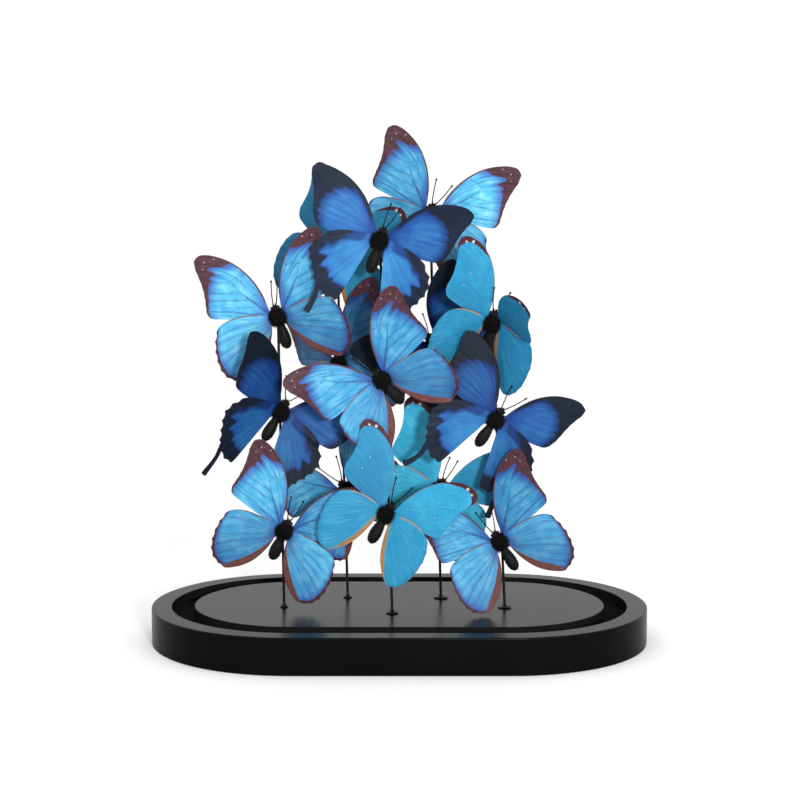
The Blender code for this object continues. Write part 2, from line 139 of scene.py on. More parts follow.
# Spread of the left and right antenna from the body's line, in degrees.
ANTENNAE = {
    "morpho_top": (-10, 21),
    "swallowtail_top": (2, 18.5),
    "turquoise_top_back": (-18, 18),
    "morpho_left": (14, 21),
    "turquoise_right": (-8, 22),
    "morpho_back": (-18, 18),
    "swallowtail_back": (-18, 18),
    "morpho_centre": (-11, -3),
    "swallowtail_left": (-33, 27),
    "swallowtail_right": (-13, 26),
    "morpho_bottom_left": (-14, 8),
    "turquoise_bottom": (-17, 19),
    "morpho_bottom_right": (-9, 20),
    "morpho_bottom_back": (-20, 20),
    "turquoise_bottom_back": (-4, 9),
}

# How far each tail's tip is bent aside and back up, in the wing's plane.
TAIL_BEND = {("swallowtail_right", -1): (4.0, 1.8), ("swallowtail_top", -1): (0.0, 2.5)}

# Painted light and shade: one factor for each wing, by butterfly, pair and side, that darkens or brightens the whole
# wing's colour to the shade or light it stands in.
PAINTED_WING_LIGHT = {
    ("morpho_back", "fore", -1): 0.4,
    ("morpho_bottom_back", "hind", 1): 0.8,
    ("morpho_top", "fore", -1): 1.1,
    ("morpho_top", "fore", 1): 1.85,
    ("morpho_top", "hind", -1): 1.15,
    ("morpho_top", "hind", 1): 1.3,
    ("morpho_left", "fore", -1): 1.5,
    ("morpho_left", "fore", 1): 1.15,
    ("morpho_left", "hind", -1): 1.5,
    ("morpho_left", "hind", 1): 0.85,
    ("morpho_centre", "fore", -1): 1.2,
    ("morpho_centre", "hind", -1): 1.15,
    ("morpho_centre", "hind", 1): 0.72,
    ("morpho_bottom_left", "fore", -1): 1.35,
    ("morpho_bottom_left", "fore", 1): 1.1,
    ("morpho_bottom_left", "hind", 1): 1.35,
    ("morpho_bottom_right", "fore", -1): 1.15,
    ("morpho_bottom_right", "fore", 1): 0.88,
    ("morpho_bottom_right", "hind", -1): 1.25,
    ("turquoise_bottom", "fore", -1): 0.93,
    ("turquoise_bottom", "fore", 1): 1.35,
    ("turquoise_bottom", "hind", -1): 1.05,
    ("turquoise_bottom", "hind", 1): 1.1,
    ("turquoise_right", "fore", -1): 1.1,
    ("turquoise_right", "fore", 1): 0.85,
    ("turquoise_right", "hind", 1): 0.8,
    ("swallowtail_top", "fore", -1): 1.1,
    ("swallowtail_top", "fore", 1): 0.9,
    ("swallowtail_top", "hind", -1): 1.25,
    ("swallowtail_top", "hind", 1): 1.35,
    ("swallowtail_left", "fore", -1): 0.42,
    ("swallowtail_left", "fore", 1): 0.75,
    ("swallowtail_left", "hind", -1): 0.56,
    ("swallowtail_left", "hind", 1): 0.72,
    ("swallowtail_right", "fore", -1): 0.57,
    ("swallowtail_right", "fore", 1): 0.75,
    ("swallowtail_right", "hind", 1): 0.7,
    ("turquoise_top_back", "fore", -1): 0.78,
    ("turquoise_top_back", "fore", 1): 0.85,
    ("turquoise_top_back", "hind", -1): 0.7,
    ("swallowtail_back", "fore", -1): 0.5,
    ("swallowtail_back", "fore", 1): 0.6,
    ("morpho_back", "fore", 1): 0.46,
    ("morpho_back", "hind", -1): 0.65,
    ("morpho_bottom_back", "fore", -1): 1.2,
    ("morpho_bottom_back", "hind", -1): 1.45,
    ("turquoise_bottom_back", "fore", -1): 1.93,
    ("turquoise_bottom_back", "fore", 1): 1.15,
    ("turquoise_bottom_back", "hind", -1): 1.9,
    ("turquoise_bottom_back", "hind", 1): 1.7,
}

# How much further back the head sits in the fur of the thorax.
HEAD_BACK = {"morpho": 1.2, "turquoise": 0.7, "swallowtail": 0.0}

SLOT = {"morpho": "morpho_wing", "swallowtail": "swallowtail_wing", "turquoise": "turquoise_wing"}

# -------------------------------------------------------------------- shading

# How much light a surface facing the front gets: a colour below is divided by
# it, so that it comes out as written.
LIGHT = 1.75


def tone(red, green, blue, light=LIGHT):
    """A colour as it should appear on the finished object, 0 to 255."""
    out = []
    for c in (red, green, blue):
        c = c / 255
        c = c / 12.92 if c <= 0.04045 else ((c + 0.055) / 1.055) ** 2.4
        out.append(min(c / light, 0.98))
    return tuple(out)


class Value:
    """A number flowing through a shader, so that node maths reads as maths."""

    def __init__(self, shade, socket):
        self.shade, self.socket = shade, socket

    def __add__(self, other):
        return self.shade.math("ADD", self, other)

    __radd__ = __add__

    def __sub__(self, other):
        return self.shade.math("SUBTRACT", self, other)

    def __rsub__(self, other):
        return self.shade.math("SUBTRACT", other, self)

    def __mul__(self, other):
        return self.shade.math("MULTIPLY", self, other)

    __rmul__ = __mul__

    def __truediv__(self, other):
        return self.shade.math("DIVIDE", self, other)


class Shade:
    def __init__(self, name, **settings):
        self.material = bpy.data.materials.new(name)
        self.material.use_nodes = True
        self.tree = self.material.node_tree
        self.tree.nodes.clear()
        out = self.tree.nodes.new("ShaderNodeOutputMaterial")
        self.surface = self.tree.nodes.new("ShaderNodeBsdfPrincipled")
        self.tree.links.new(self.surface.outputs[0], out.inputs[0])
        for socket, value in settings.items():
            self.put(value, self.surface.inputs[socket.replace("_", " ")])

    def put(self, value, socket):
        if isinstance(value, Value):
            self.tree.links.new(value.socket, socket)
        elif isinstance(value, tuple) and len(value) == 3 and socket.type == "RGBA":
            socket.default_value = (*value, 1.0)
        else:
            socket.default_value = value

    def math(self, operation, *values, clamp=False):
        node = self.tree.nodes.new("ShaderNodeMath")
        node.operation = operation
        node.use_clamp = clamp
        for i, value in enumerate(values):
            self.put(value, node.inputs[i])
        return Value(self, node.outputs[0])

    def mix(self, share, first, second, way="MIX"):
        node = self.tree.nodes.new("ShaderNodeMix")
        node.data_type = "RGBA"
        node.blend_type = way
        node.clamp_factor = True
        self.put(share, node.inputs[0])
        self.put(first, node.inputs[6])
        self.put(second, node.inputs[7])
        return Value(self, node.outputs[2])

    def rise(self, value, low, high):
        """0 below low, 1 above high, smooth between."""
        node = self.tree.nodes.new("ShaderNodeMapRange")
        node.interpolation_type = "SMOOTHSTEP"
        self.put(value, node.inputs["Value"])
        self.put(low, node.inputs["From Min"])
        self.put(high, node.inputs["From Max"])
        return Value(self, node.outputs[0])

    def fall(self, value, low, high):
        return 1.0 - self.rise(value, low, high)

    def curve(self, value, points):
        node = self.tree.nodes.new("ShaderNodeFloatCurve")
        line = node.mapping.curves[0]
        line.points[0].location = points[0]
        line.points[-1].location = points[-1]
        for point in points[1:-1]:
            line.points.new(*point)
        node.mapping.update()
        self.put(value, node.inputs["Value"])
        return Value(self, node.outputs[0])

    def both(self, x, y, z=0.0):
        node = self.tree.nodes.new("ShaderNodeCombineXYZ")
        for i, value in enumerate((x, y, z)):
            self.put(value, node.inputs[i])
        return Value(self, node.outputs[0])

    def noise(self, place, scale=1.0, detail=2.0, rough=0.5, warp=0.0):
        """Even noise about 0, from roughly -1 to 1."""
        node = self.tree.nodes.new("ShaderNodeTexNoise")
        self.put(place, node.inputs["Vector"])
        node.inputs["Scale"].default_value = scale
        node.inputs["Detail"].default_value = detail
        node.inputs["Roughness"].default_value = rough
        node.inputs["Distortion"].default_value = warp
        return self.math("MULTIPLY_ADD", Value(self, node.outputs[0]), 3.2, -1.6)

    def parts(self, layer):
        chart = self.tree.nodes.new("ShaderNodeUVMap")
        chart.uv_map = layer
        split = self.tree.nodes.new("ShaderNodeSeparateXYZ")
        self.tree.links.new(chart.outputs[0], split.inputs[0])
        return Value(self, split.outputs[0]), Value(self, split.outputs[1])

    def attribute(self, name):
        node = self.tree.nodes.new("ShaderNodeAttribute")
        node.attribute_name = name
        return Value(self, node.outputs["Fac"])

    def own_place(self):
        node = self.tree.nodes.new("ShaderNodeTexCoord")
        return Value(self, node.outputs["Object"])

    def bump(self, height, strength, distance):
        node = self.tree.nodes.new("ShaderNodeBump")
        node.inputs["Strength"].default_value = strength
        node.inputs["Distance"].default_value = distance
        self.put(height, node.inputs["Height"])
        self.tree.links.new(node.outputs[0], self.surface.inputs["Normal"])


class WingShade(Shade):
    """What every wing's shader starts from: u runs from the leading edge (0) to
    the inner edge (1), v from the root (0) to the outer edge (1)."""

    def __init__(self, name, key, **settings):
        super().__init__(name, **settings)
        wing = WINGS[key]
        self.wing = wing
        self.u, self.v = self.parts("wing")
        x, y = self.parts("flat")
        self.x, self.y = x * 100.0, y * 100.0
        self.own = self.attribute("vary")
        self.seed = self.own * 37.0
        cells = wing.cells
        self.to_vein = self.math("PINGPONG", self.u * float(cells), 0.5)
        self.middle = self.to_vein * 2.0
        self.vein_mm = self.to_vein * self.v * (wing.outer_length / cells)
        self.edge_mm = (1.0 - self.v) * wing.reach
        self.front_mm = self.u * self.v * wing.outer_length
        self.inner_mm = (1.0 - self.u) * self.v * wing.outer_length

    def streaks(self, fine, along=2.2, detail=3.0, rough=0.55, shift=0.0):
        place = self.both(self.u * fine, self.v * along, self.seed + shift)
        return self.noise(place, 1.0, detail, rough)

    def mottle(self, size, shift=0.0, detail=2.0):
        """Noise whose patches are about that many millimetres wide."""
        place = self.both(self.x / size, self.y / size, self.seed + shift)
        return self.noise(place, 1.0, detail)

    def line(self, distance, half, soft):
        return self.fall(distance, half, half + soft)

    def track(self, points, half, soft):
        """A line through (v, u) points, half and soft in millimetres."""
        low, high = points[0][0], points[-1][0]
        ends = ([(0.0, points[0][1])] if low > 0.001 else []) + list(points) + ([(1.0, points[-1][1])] if high < 0.999 else [])
        away = self.math("ABSOLUTE", self.u - self.curve(self.v, ends)) * self.v * self.wing.outer_length
        shown = self.line(away, half, soft)
        if low > 0.001:
            shown = shown * self.rise(self.v, low - 0.01, low + 0.03)
        if high < 0.999:
            shown = shown * self.fall(self.v, high - 0.03, high + 0.01)
        return shown

    def paint_wing_light(self, colour):
        """Each wing's painted light or shade: its factor, from the depth attribute, scales the colour, red the most and
        blue the least, as less light takes red away first.
        """
        depth = self.attribute("depth")
        parts = self.both(self.math("POWER", depth, 1.33), depth, self.math("POWER", depth, 0.75))
        return self.mix(1.0, colour, parts, "MULTIPLY")

    def finish(self, colour, fine, raised):
        """The scales' fine grain, and the surface."""
        colour = self.mix(self.rise(fine, 0.1, 1.3) * 0.10, colour, tone(190, 215, 235))
        colour = self.mix(self.fall(fine, -1.3, -0.1) * 0.16, colour, tone(20, 34, 70))
        self.put(colour, self.surface.inputs["Base Color"])
        self.put(self.math("ADD", self.surface.inputs["Roughness"].default_value, fine * 0.06), self.surface.inputs["Roughness"])
        self.bump(fine * 0.7 + raised * 2.0 if not isinstance(raised, float) else fine * 0.7, 0.3, 0.0002)

    def spot(self, u, v, radius, soft=0.35, stretch=1.0):
        cx, cy = self.wing.at(u, v)
        dx, dy = self.x - float(cx), (self.y - float(cy)) * stretch
        distance = self.math("SQRT", dx * dx + dy * dy)
        return self.fall(distance, radius - soft, radius + soft)


def through(points):
    """A smooth line through points, as a function of the point's number."""
    points = np.asarray(points, float)
    p = np.vstack([2 * points[0] - points[1], points, 2 * points[-1] - points[-2]])

    def at(s):
        s = np.clip(np.asarray(s, float), 0, len(points) - 1)
        i = np.minimum(np.floor(s).astype(int), len(points) - 2)
        t = (s - i)[:, None]
        a, b, c, d = p[i], p[i + 1], p[i + 2], p[i + 3]
        return 0.5 * (2 * b + (c - a) * t + (2 * a - 5 * b + 4 * c - d) * t**2 + (3 * b - a - 3 * c + d) * t**3)

    return at


def even(at, start, end, count=240):
    """The same line with equal steps of length, as a function of 0 to 1."""
    s = np.linspace(start, end, count)
    points = at(s)
    gone = np.r_[0, np.cumsum(np.linalg.norm(np.diff(points, axis=0), axis=1))]
    return (lambda share: at(np.interp(share, gone / gone[-1], s))), gone[-1]


class Wing:
    """A right wing's flat shape: a patch between its four edges."""

    def __init__(self, key):
        leading, outer, inner, self.scallop = OUTLINES[key]
        self.key = key
        self.cells = len(outer)
        self.line = through(leading + outer + inner)
        self.first, self.last = len(leading) - 1, len(leading) - 1 + len(outer)
        self.front, self.front_length = even(self.line, 0, self.first)
        end = self.last + len(inner)
        self.back, self.back_length = even(self.line, end, self.last)
        _, self.outer_length = even(self.line, self.first, self.last)
        self.reach = 0.5 * (self.front_length + self.back_length)

    def outer(self, u):
        u = np.asarray(u, float)
        s = self.first + u * self.cells
        place = self.line(s)
        along = self.line(s + 1e-3) - self.line(s - 1e-3)
        along /= np.linalg.norm(along, axis=1)[:, None]
        out = np.c_[-along[:, 1], along[:, 0]]
        return place - out * (self.scallop * np.abs(np.sin(np.pi * u * self.cells)))[:, None]

    def patch(self, us, vs):
        """The points at every u and v, as rows of v."""
        us, vs = np.asarray(us, float), np.asarray(vs, float)
        front, back, outer = self.front(vs), self.back(vs), self.outer(us)
        a, b = self.front(np.zeros(1))[0], self.back(np.zeros(1))[0]
        c, d = self.front(np.ones(1))[0], self.back(np.ones(1))[0]
        u, v = us[None, :, None], vs[:, None, None]
        root = a + (b - a) * us[:, None]
        return (
            (1 - u) * front[:, None]
            + u * back[:, None]
            + (1 - v) * root[None]
            + v * outer[None]
            - ((1 - u) * (1 - v) * a + u * (1 - v) * b + (1 - u) * v * c + u * v * d)
        )

    def at(self, u, v):
        return self.patch([u], [v])[0, 0]


WINGS = {key: Wing(key) for key in OUTLINES}

NAVY = tone(24, 34, 84)
AZURE = tone(66, 172, 226)
PALE = tone(132, 214, 246)
GLINT = tone(172, 228, 250)
STEEL = tone(50, 114, 182)
ROYAL = tone(46, 90, 178)
VIOLET = tone(64, 84, 160)
MAROON = tone(100, 54, 70)
WINE = tone(62, 30, 44)
RUST = tone(132, 78, 64)
UMBER = tone(96, 56, 54)
FOLD = tone(146, 90, 82)
CREAM = tone(232, 224, 205)


def morpho_forewing():
    s = WingShade("morpho_forewing", "morpho_fore", Roughness=0.52, Specular_IOR_Level=0.2)
    u, v = s.u, s.v
    ray = s.streaks(20.0, 3.2)
    thin = s.streaks(46.0, 4.0, shift=2.0)
    fine = s.mottle(0.45, 3.0, 3.0)
    cloud = s.mottle(8.0)
    # azure, paler in patches, with soft darker streaks
    hair = s.noise(s.both(u * 72.0, v * 9.0, s.seed + 20.0), 1.0, 2.0, 0.6)
    colour = s.mix(s.rise(ray * 0.7 + cloud + thin * 0.45, -0.4, 1.5) * 0.85, AZURE, PALE)
    colour = s.mix(s.fall(ray + cloud * 0.6 + thin * 0.6, -1.6, 0.0) * 0.75, colour, STEEL)
    colour = s.mix(s.rise(hair + thin * 0.6, 0.2, 1.5) * 0.6, colour, GLINT)
    colour = s.mix(s.fall(hair + thin * 0.6, -1.6, -0.2) * 0.65, colour, ROYAL)
    # darker towards the root, the leading edge and the brown tip
    colour = s.mix(s.fall(s.front_mm + ray * 1.2, 0.3, 4.5) * 0.4, colour, ROYAL)
    root = s.fall(v + thin * 0.05 + ray * 0.04, 0.08, 0.40)
    colour = s.mix(root * s.curve(u, [(0, 0.8), (0.4, 0.75), (0.6, 0.5), (1, 0.55)]), colour, ROYAL)
    tip = s.curve(
        u,
        [
            (0, 0.66), (0.06, 0.675), (0.12, 0.70), (0.17, 0.77), (0.205, 0.85), (0.23, 0.86), (0.255, 0.83), (0.29, 0.80),
            (0.325, 0.855), (0.36, 0.88), (0.39, 0.865), (0.43, 0.90), (0.5, 0.922), (0.6, 0.942), (0.75, 0.958), (1, 0.965),
        ],
    )
    tip = tip + s.streaks(60.0, 6.0, shift=9.0) * 0.012 + s.mottle(1.3, 6.0) * 0.008
    near = s.rise(v + ray * 0.02, tip - 0.16, tip)
    colour = s.mix(near * s.curve(u, [(0, 0.9), (0.45, 0.9), (0.7, 0.6), (1, 0.5)]), colour, ROYAL)
    colour = s.mix(s.rise(v + thin * 0.01, tip - 0.045, tip) * 0.55, colour, VIOLET)
    # veins: the long cell from the root, and the branches from it to the edge
    lower = s.track([(0.0, 0.505), (0.25, 0.49), (0.40, 0.47), (0.52, 0.42), (0.60, 0.35), (0.64, 0.31)], 0.08, 0.40)
    heavy = s.track([(0.0, 0.505), (0.25, 0.495), (0.45, 0.46), (0.55, 0.41)], 0.3, 1.1)
    upper = s.track([(0.03, 0.30), (0.25, 0.27), (0.45, 0.25), (0.60, 0.27), (0.64, 0.31)], 0.05, 0.35)
    veins = s.math("MAXIMUM", lower, upper * 0.6)
    for line, strong in (
        ([(0.37, 0.50), (0.50, 0.585), (0.63, 0.635), (0.80, 0.67), (0.97, 0.69)], 0.75),
        ([(0.50, 0.45), (0.60, 0.487), (0.73, 0.553), (0.97, 0.575)], 0.75),
        ([(0.62, 0.33), (0.70, 0.36), (0.80, 0.40), (0.93, 0.45)], 0.6),
        ([(0.63, 0.31), (0.75, 0.315), (0.92, 0.33)], 0.6),
        ([(0.20, 0.55), (0.35, 0.66), (0.50, 0.73), (0.70, 0.77), (0.97, 0.79)], 0.5),
        ([(0.45, 0.20), (0.60, 0.20), (0.75, 0.205), (0.87, 0.215)], 0.8),
        ([(0.50, 0.12), (0.70, 0.13), (0.82, 0.14)], 0.6),
    ):
        veins = s.math("MAXIMUM", veins, s.track(line, 0.03, 0.30) * strong)
        if strong > 0.7:
            colour = s.mix(s.track(line, 0.2, 1.2) * 0.18, colour, ROYAL)
    loop = s.math("ABSOLUTE", v - s.curve(u, [(0, 0.53), (0.087, 0.485), (0.187, 0.55), (0.32, 0.63), (1, 0.9)])) * s.wing.reach
    veins = s.math("MAXIMUM", veins, s.line(loop, 0.05, 0.35) * s.fall(u, 0.30, 0.33) * 0.75)
    colour = s.mix(heavy * 0.45 * s.fall(v, 0.3, 0.6), colour, ROYAL)
    colour = s.mix(veins * s.rise(s.mottle(3.0, 14.0) + thin * 0.4, -1.3, 0.7) * 0.8, colour, NAVY)
    last = s.track([(0.06, 0.80), (0.3, 0.83), (0.7, 0.84), (0.97, 0.85)], 0.25, 0.55)
    last = s.math("MAXIMUM", last, s.track([(0.06, 0.89), (0.3, 0.91), (0.97, 0.925)], 0.15, 0.45) * 0.6)
    colour = s.mix(last * 0.5, colour, tone(38, 66, 150))
    # painted light or shade: this wing's colour scaled by its factor
    colour = s.paint_wing_light(colour)
    # the brown tip and border
    brown = s.mix(s.rise(s.streaks(70.0, 14.0, shift=5.0) + s.mottle(2.2, 1.0) * 0.8, -1.0, 1.3), WINE, MAROON)
    brown = s.mix(s.rise(s.mottle(3.5, 8.0) + ray * 0.4, -0.1, 1.2) * 0.55, brown, tone(122, 72, 92))
    rays = s.track([(0.6, 0.10), (1.0, 0.10)], 0.1, 0.4)
    for at in (0.20, 0.31, 0.42, 0.53):
        rays = s.math("MAXIMUM", rays, s.track([(0.7, at - 0.01), (1.0, at)], 0.1, 0.4))
    brown = s.mix(rays * 0.25, brown, RUST)
    colour = s.mix(s.rise(v, tip - 0.011, tip + 0.013), colour, brown)
    # a few pale marks near the tip and on the leading edge
    marks = s.math("MAXIMUM", s.spot(0.055, 0.825, 0.4, 0.35), s.spot(0.142, 0.897, 0.4, 0.35))
    marks = s.math("MAXIMUM", marks, s.spot(0.235, 0.92, 0.6, 0.5) * 0.3)
    marks = s.math("MAXIMUM", marks, s.spot(0.016, 0.56, 0.75, 0.4) * 0.6)
    colour = s.mix(marks * 0.8, colour, CREAM)
    colour = s.mix(s.line(s.front_mm, 0.45, 0.35) * s.rise(v, 0.08, 0.16), colour, UMBER)
    colour = s.mix(s.fall(s.edge_mm, 0.2, 0.5) * s.rise(u, 0.3, 0.4) * 0.5, colour, WINE)
    s.finish(colour, fine, veins)
    return s.material


def morpho_hindwing():
    s = WingShade("morpho_hindwing", "morpho_hind", Roughness=0.52, Specular_IOR_Level=0.2)
    u, v = s.u, s.v
    # streaks and veins bend towards the inner edge as they reach the root
    bent = s.curve(v, [(0, 0.36), (0.2, 0.24), (0.4, 0.13), (0.7, 0.03), (1, 0)]) * s.curve(u, [(0, 0.55), (0.35, 0.8), (0.6, 0.75), (0.9, 0.1), (1, 0)])
    bent = u - bent
    ray = s.noise(s.both(bent * 18.0, v * 2.6, s.seed), 1.0, 3.0, 0.55)
    thin = s.noise(s.both(bent * 42.0, v * 3.6, s.seed + 2.0), 1.0, 3.0, 0.55)
    fine = s.mottle(0.45, 3.0, 3.0)
    cloud = s.mottle(9.0)
    hair = s.noise(s.both(bent * 66.0, v * 7.0, s.seed + 20.0), 1.0, 2.0, 0.6)
    colour = s.mix(s.rise(ray * 0.8 + cloud * 0.8 + thin * 0.4, -0.5, 1.4) * 0.85, AZURE, PALE)
    colour = s.mix(s.rise(hair + thin * 0.6, 0.2, 1.5) * 0.6, colour, GLINT)
    colour = s.mix(s.fall(hair + thin * 0.6, -1.6, -0.2) * 0.65, colour, ROYAL)
    dark = s.fall(thin * 0.8 + ray * 0.5 + cloud * 0.4, -1.5, 0.0) * s.rise(v, 0.1, 0.5)
    colour = s.mix(dark * 0.75, colour, STEEL)
    zone = s.rise(v + ray * 0.10, 0.40, 0.95) * s.rise(u + ray * 0.1, 0.35, 0.62)
    colour = s.mix(zone * 0.6, colour, STEEL)
    colour = s.mix(s.fall(v + thin * 0.05, 0.02, 0.24) * 0.8, colour, ROYAL)
    veins = 0.0
    for line, strong in (
        ([(0.10, 0.35), (0.30, 0.24), (0.60, 0.16), (0.95, 0.13)], 0.5),
        ([(0.10, 0.48), (0.30, 0.37), (0.50, 0.31), (0.70, 0.285), (0.95, 0.27)], 0.55),
        ([(0.10, 0.60), (0.25, 0.52), (0.40, 0.46), (0.60, 0.42), (0.95, 0.40)], 0.6),
        ([(0.08, 0.74), (0.25, 0.66), (0.40, 0.58), (0.60, 0.53), (0.80, 0.52), (0.95, 0.545)], 0.9),
        ([(0.10, 0.76), (0.30, 0.69), (0.50, 0.66), (0.80, 0.665), (0.95, 0.68)], 0.7),
        ([(0.10, 0.82), (0.30, 0.78), (0.60, 0.775), (0.95, 0.80)], 0.55),
    ):
        veins = s.math("MAXIMUM", veins, s.track(line, 0.03, 0.32) * strong)
        colour = s.mix(s.track(line, 0.2, 1.7) * strong * 0.35, colour, VIOLET)
    colour = s.mix(veins * s.rise(s.mottle(3.0, 14.0) + thin * 0.4, -1.2, 0.8) * 0.6, colour, NAVY)
    # royal blue inside the wavy brown border
    edge = s.edge_mm + s.noise(s.both(u * 50.0, v * 6.0, s.seed + 9.0)) * 0.35
    colour = s.mix(s.fall(edge + ray * 1.0, 1.8, 6.5) * 0.8, colour, ROYAL)
    colour = s.mix(s.fall(edge + thin * 0.5, 1.5, 3.6) * 0.6, colour, VIOLET)
    # painted light or shade: this wing's colour scaled by its factor
    colour = s.paint_wing_light(colour)
    brown = s.mix(s.rise(s.mottle(1.6, 1.0) + fine * 0.5, -0.8, 1.2), WINE, MAROON)
    width = 2.0 - (s.middle - 0.5) * 1.1 + s.fall(u, 0.0, 0.2) * 0.4
    colour = s.mix(s.fall(edge - width, -0.3, 0.3), colour, brown)
    # the brown fold along the inner edge
    where = s.curve(v, [(0, 0.975), (0.1, 0.955), (0.2, 0.915), (0.35, 0.875), (0.5, 0.857), (0.7, 0.862), (0.8, 0.876), (0.95, 0.915), (1, 0.925)])
    fold_edge = (where - u) * v * s.wing.outer_length + ray * 0.25
    colour = s.mix(s.fall(fold_edge, -0.2, 2.4) * 0.5, colour, VIOLET)
    fold = s.mix(s.rise(s.streaks(46.0, 9.0, shift=6.0) + s.mottle(3.0, 5.0) * 0.5, -0.9, 1.4), tone(104, 56, 54), FOLD)
    fold = s.mix(s.fall(fold_edge + 1.0, -0.5, 0.6) * 0.0 + s.line(s.inner_mm, 0.3, 0.5) * 0.5, fold, WINE)
    colour = s.mix(s.fall(fold_edge, -0.25, 0.3), colour, fold)
    front = s.line(s.front_mm, 0.3, 0.45) * s.rise(v, 0.1, 0.25) * s.fall(v, 0.7, 0.9) * 0.85
    colour = s.mix(front, colour, tone(146, 98, 88))
    s.finish(colour, fine, veins)
    return s.material


BLUE = tone(36, 94, 180)
SKY = tone(66, 144, 212)
DEEP = tone(26, 52, 128)
INK = tone(28, 42, 66)
COAL = tone(16, 27, 46)


def swallowtail_forewing():
    s = WingShade("swallowtail_forewing", "swallowtail_fore", Roughness=0.5, Specular_IOR_Level=0.12)
    u, v = s.u, s.v
    bent = u - s.curve(v, [(0, -0.10), (0.3, -0.03), (0.6, 0.0), (1, 0)]) * s.rise(u, 0.2, 0.6)
    ray = s.noise(s.both(bent * 20.0, v * 1.3, s.seed), 1.0, 3.0, 0.5)
    thin = s.noise(s.both(bent * 44.0, v * 3.0, s.seed + 2.0), 1.0, 3.0, 0.55)
    fine = s.mottle(0.45, 3.0, 3.0)
    cloud = s.mottle(11.0)
    light = s.curve(u, [(0, 0.1), (0.2, 0.45), (0.45, 0.85), (0.7, 0.9), (0.9, 0.5), (1, 0.3)]) * s.curve(v, [(0, 0.2), (0.25, 0.5), (0.5, 0.9), (0.8, 0.85), (1, 0.6)])
    colour = s.mix(s.rise(ray * 0.55 + cloud * 0.45 + thin * 0.3 + light * 1.5, 0.1, 2.0), BLUE, SKY)
    hair = s.noise(s.both(bent * 70.0, v * 7.0, s.seed + 20.0), 1.0, 2.0, 0.6)
    colour = s.mix(s.rise(hair + thin * 0.4, 0.3, 1.4) * 0.3, colour, tone(110, 170, 224))
    colour = s.mix(s.fall(hair + thin * 0.4, -1.5, -0.4) * 0.4, colour, DEEP)
    colour = s.mix(s.fall(ray * 0.8 + thin * 0.4 + cloud * 0.3, -1.5, -0.2) * 0.5, colour, DEEP)
    fan = s.track([(0.1, 0.62), (0.35, 0.62), (0.6, 0.66), (0.93, 0.68)], 0.1, 1.5)
    for line in (
        [(0.1, 0.50), (0.35, 0.50), (0.6, 0.55), (0.93, 0.57)],
        [(0.1, 0.44), (0.35, 0.42), (0.6, 0.44), (0.9, 0.47)],
        [(0.1, 0.74), (0.35, 0.75), (0.6, 0.77), (0.95, 0.79)],
    ):
        fan = s.math("MAXIMUM", fan, s.track(line, 0.1, 1.4))
    colour = s.mix(fan * s.rise(v, 0.3, 0.65) * 0.5, colour, BLUE)
    colour = s.mix(s.fall(v + thin * 0.03, 0.03, 0.30) * 0.6, colour, DEEP)
    colour = s.mix(s.fall(u + thin * 0.02 + v * 0.05, 0.04, 0.22) * s.fall(v, 0.3, 0.7) * 0.7, colour, DEEP)
    tip = s.curve(u, [(0, 0.47), (0.08, 0.515), (0.17, 0.575), (0.25, 0.66), (0.37, 0.765), (0.5, 0.86), (0.56, 0.885), (0.63, 0.91), (0.83, 0.925), (1, 0.93)])
    tip = tip + ray * 0.018 + thin * 0.014 + (s.middle - 0.5) * 0.035
    colour = s.mix(s.rise(v, tip - 0.15, tip + 0.01) * 0.8, colour, DEEP)
    black = s.mix(s.rise(cloud + fine * 0.3 + thin * 0.3, -1.2, 1.4), COAL, INK)
    colour = s.mix(s.rise(v, tip - 0.035, tip + 0.035), colour, black)
    colour = s.mix(s.fall(s.front_mm + thin * 0.4, 0.7, 2.6) * s.rise(v, 0.08, 0.2), colour, black)
    # painted light or shade: this wing's colour scaled by its factor, then the fine grain
    s.finish(s.paint_wing_light(colour), fine, fan)
    return s.material


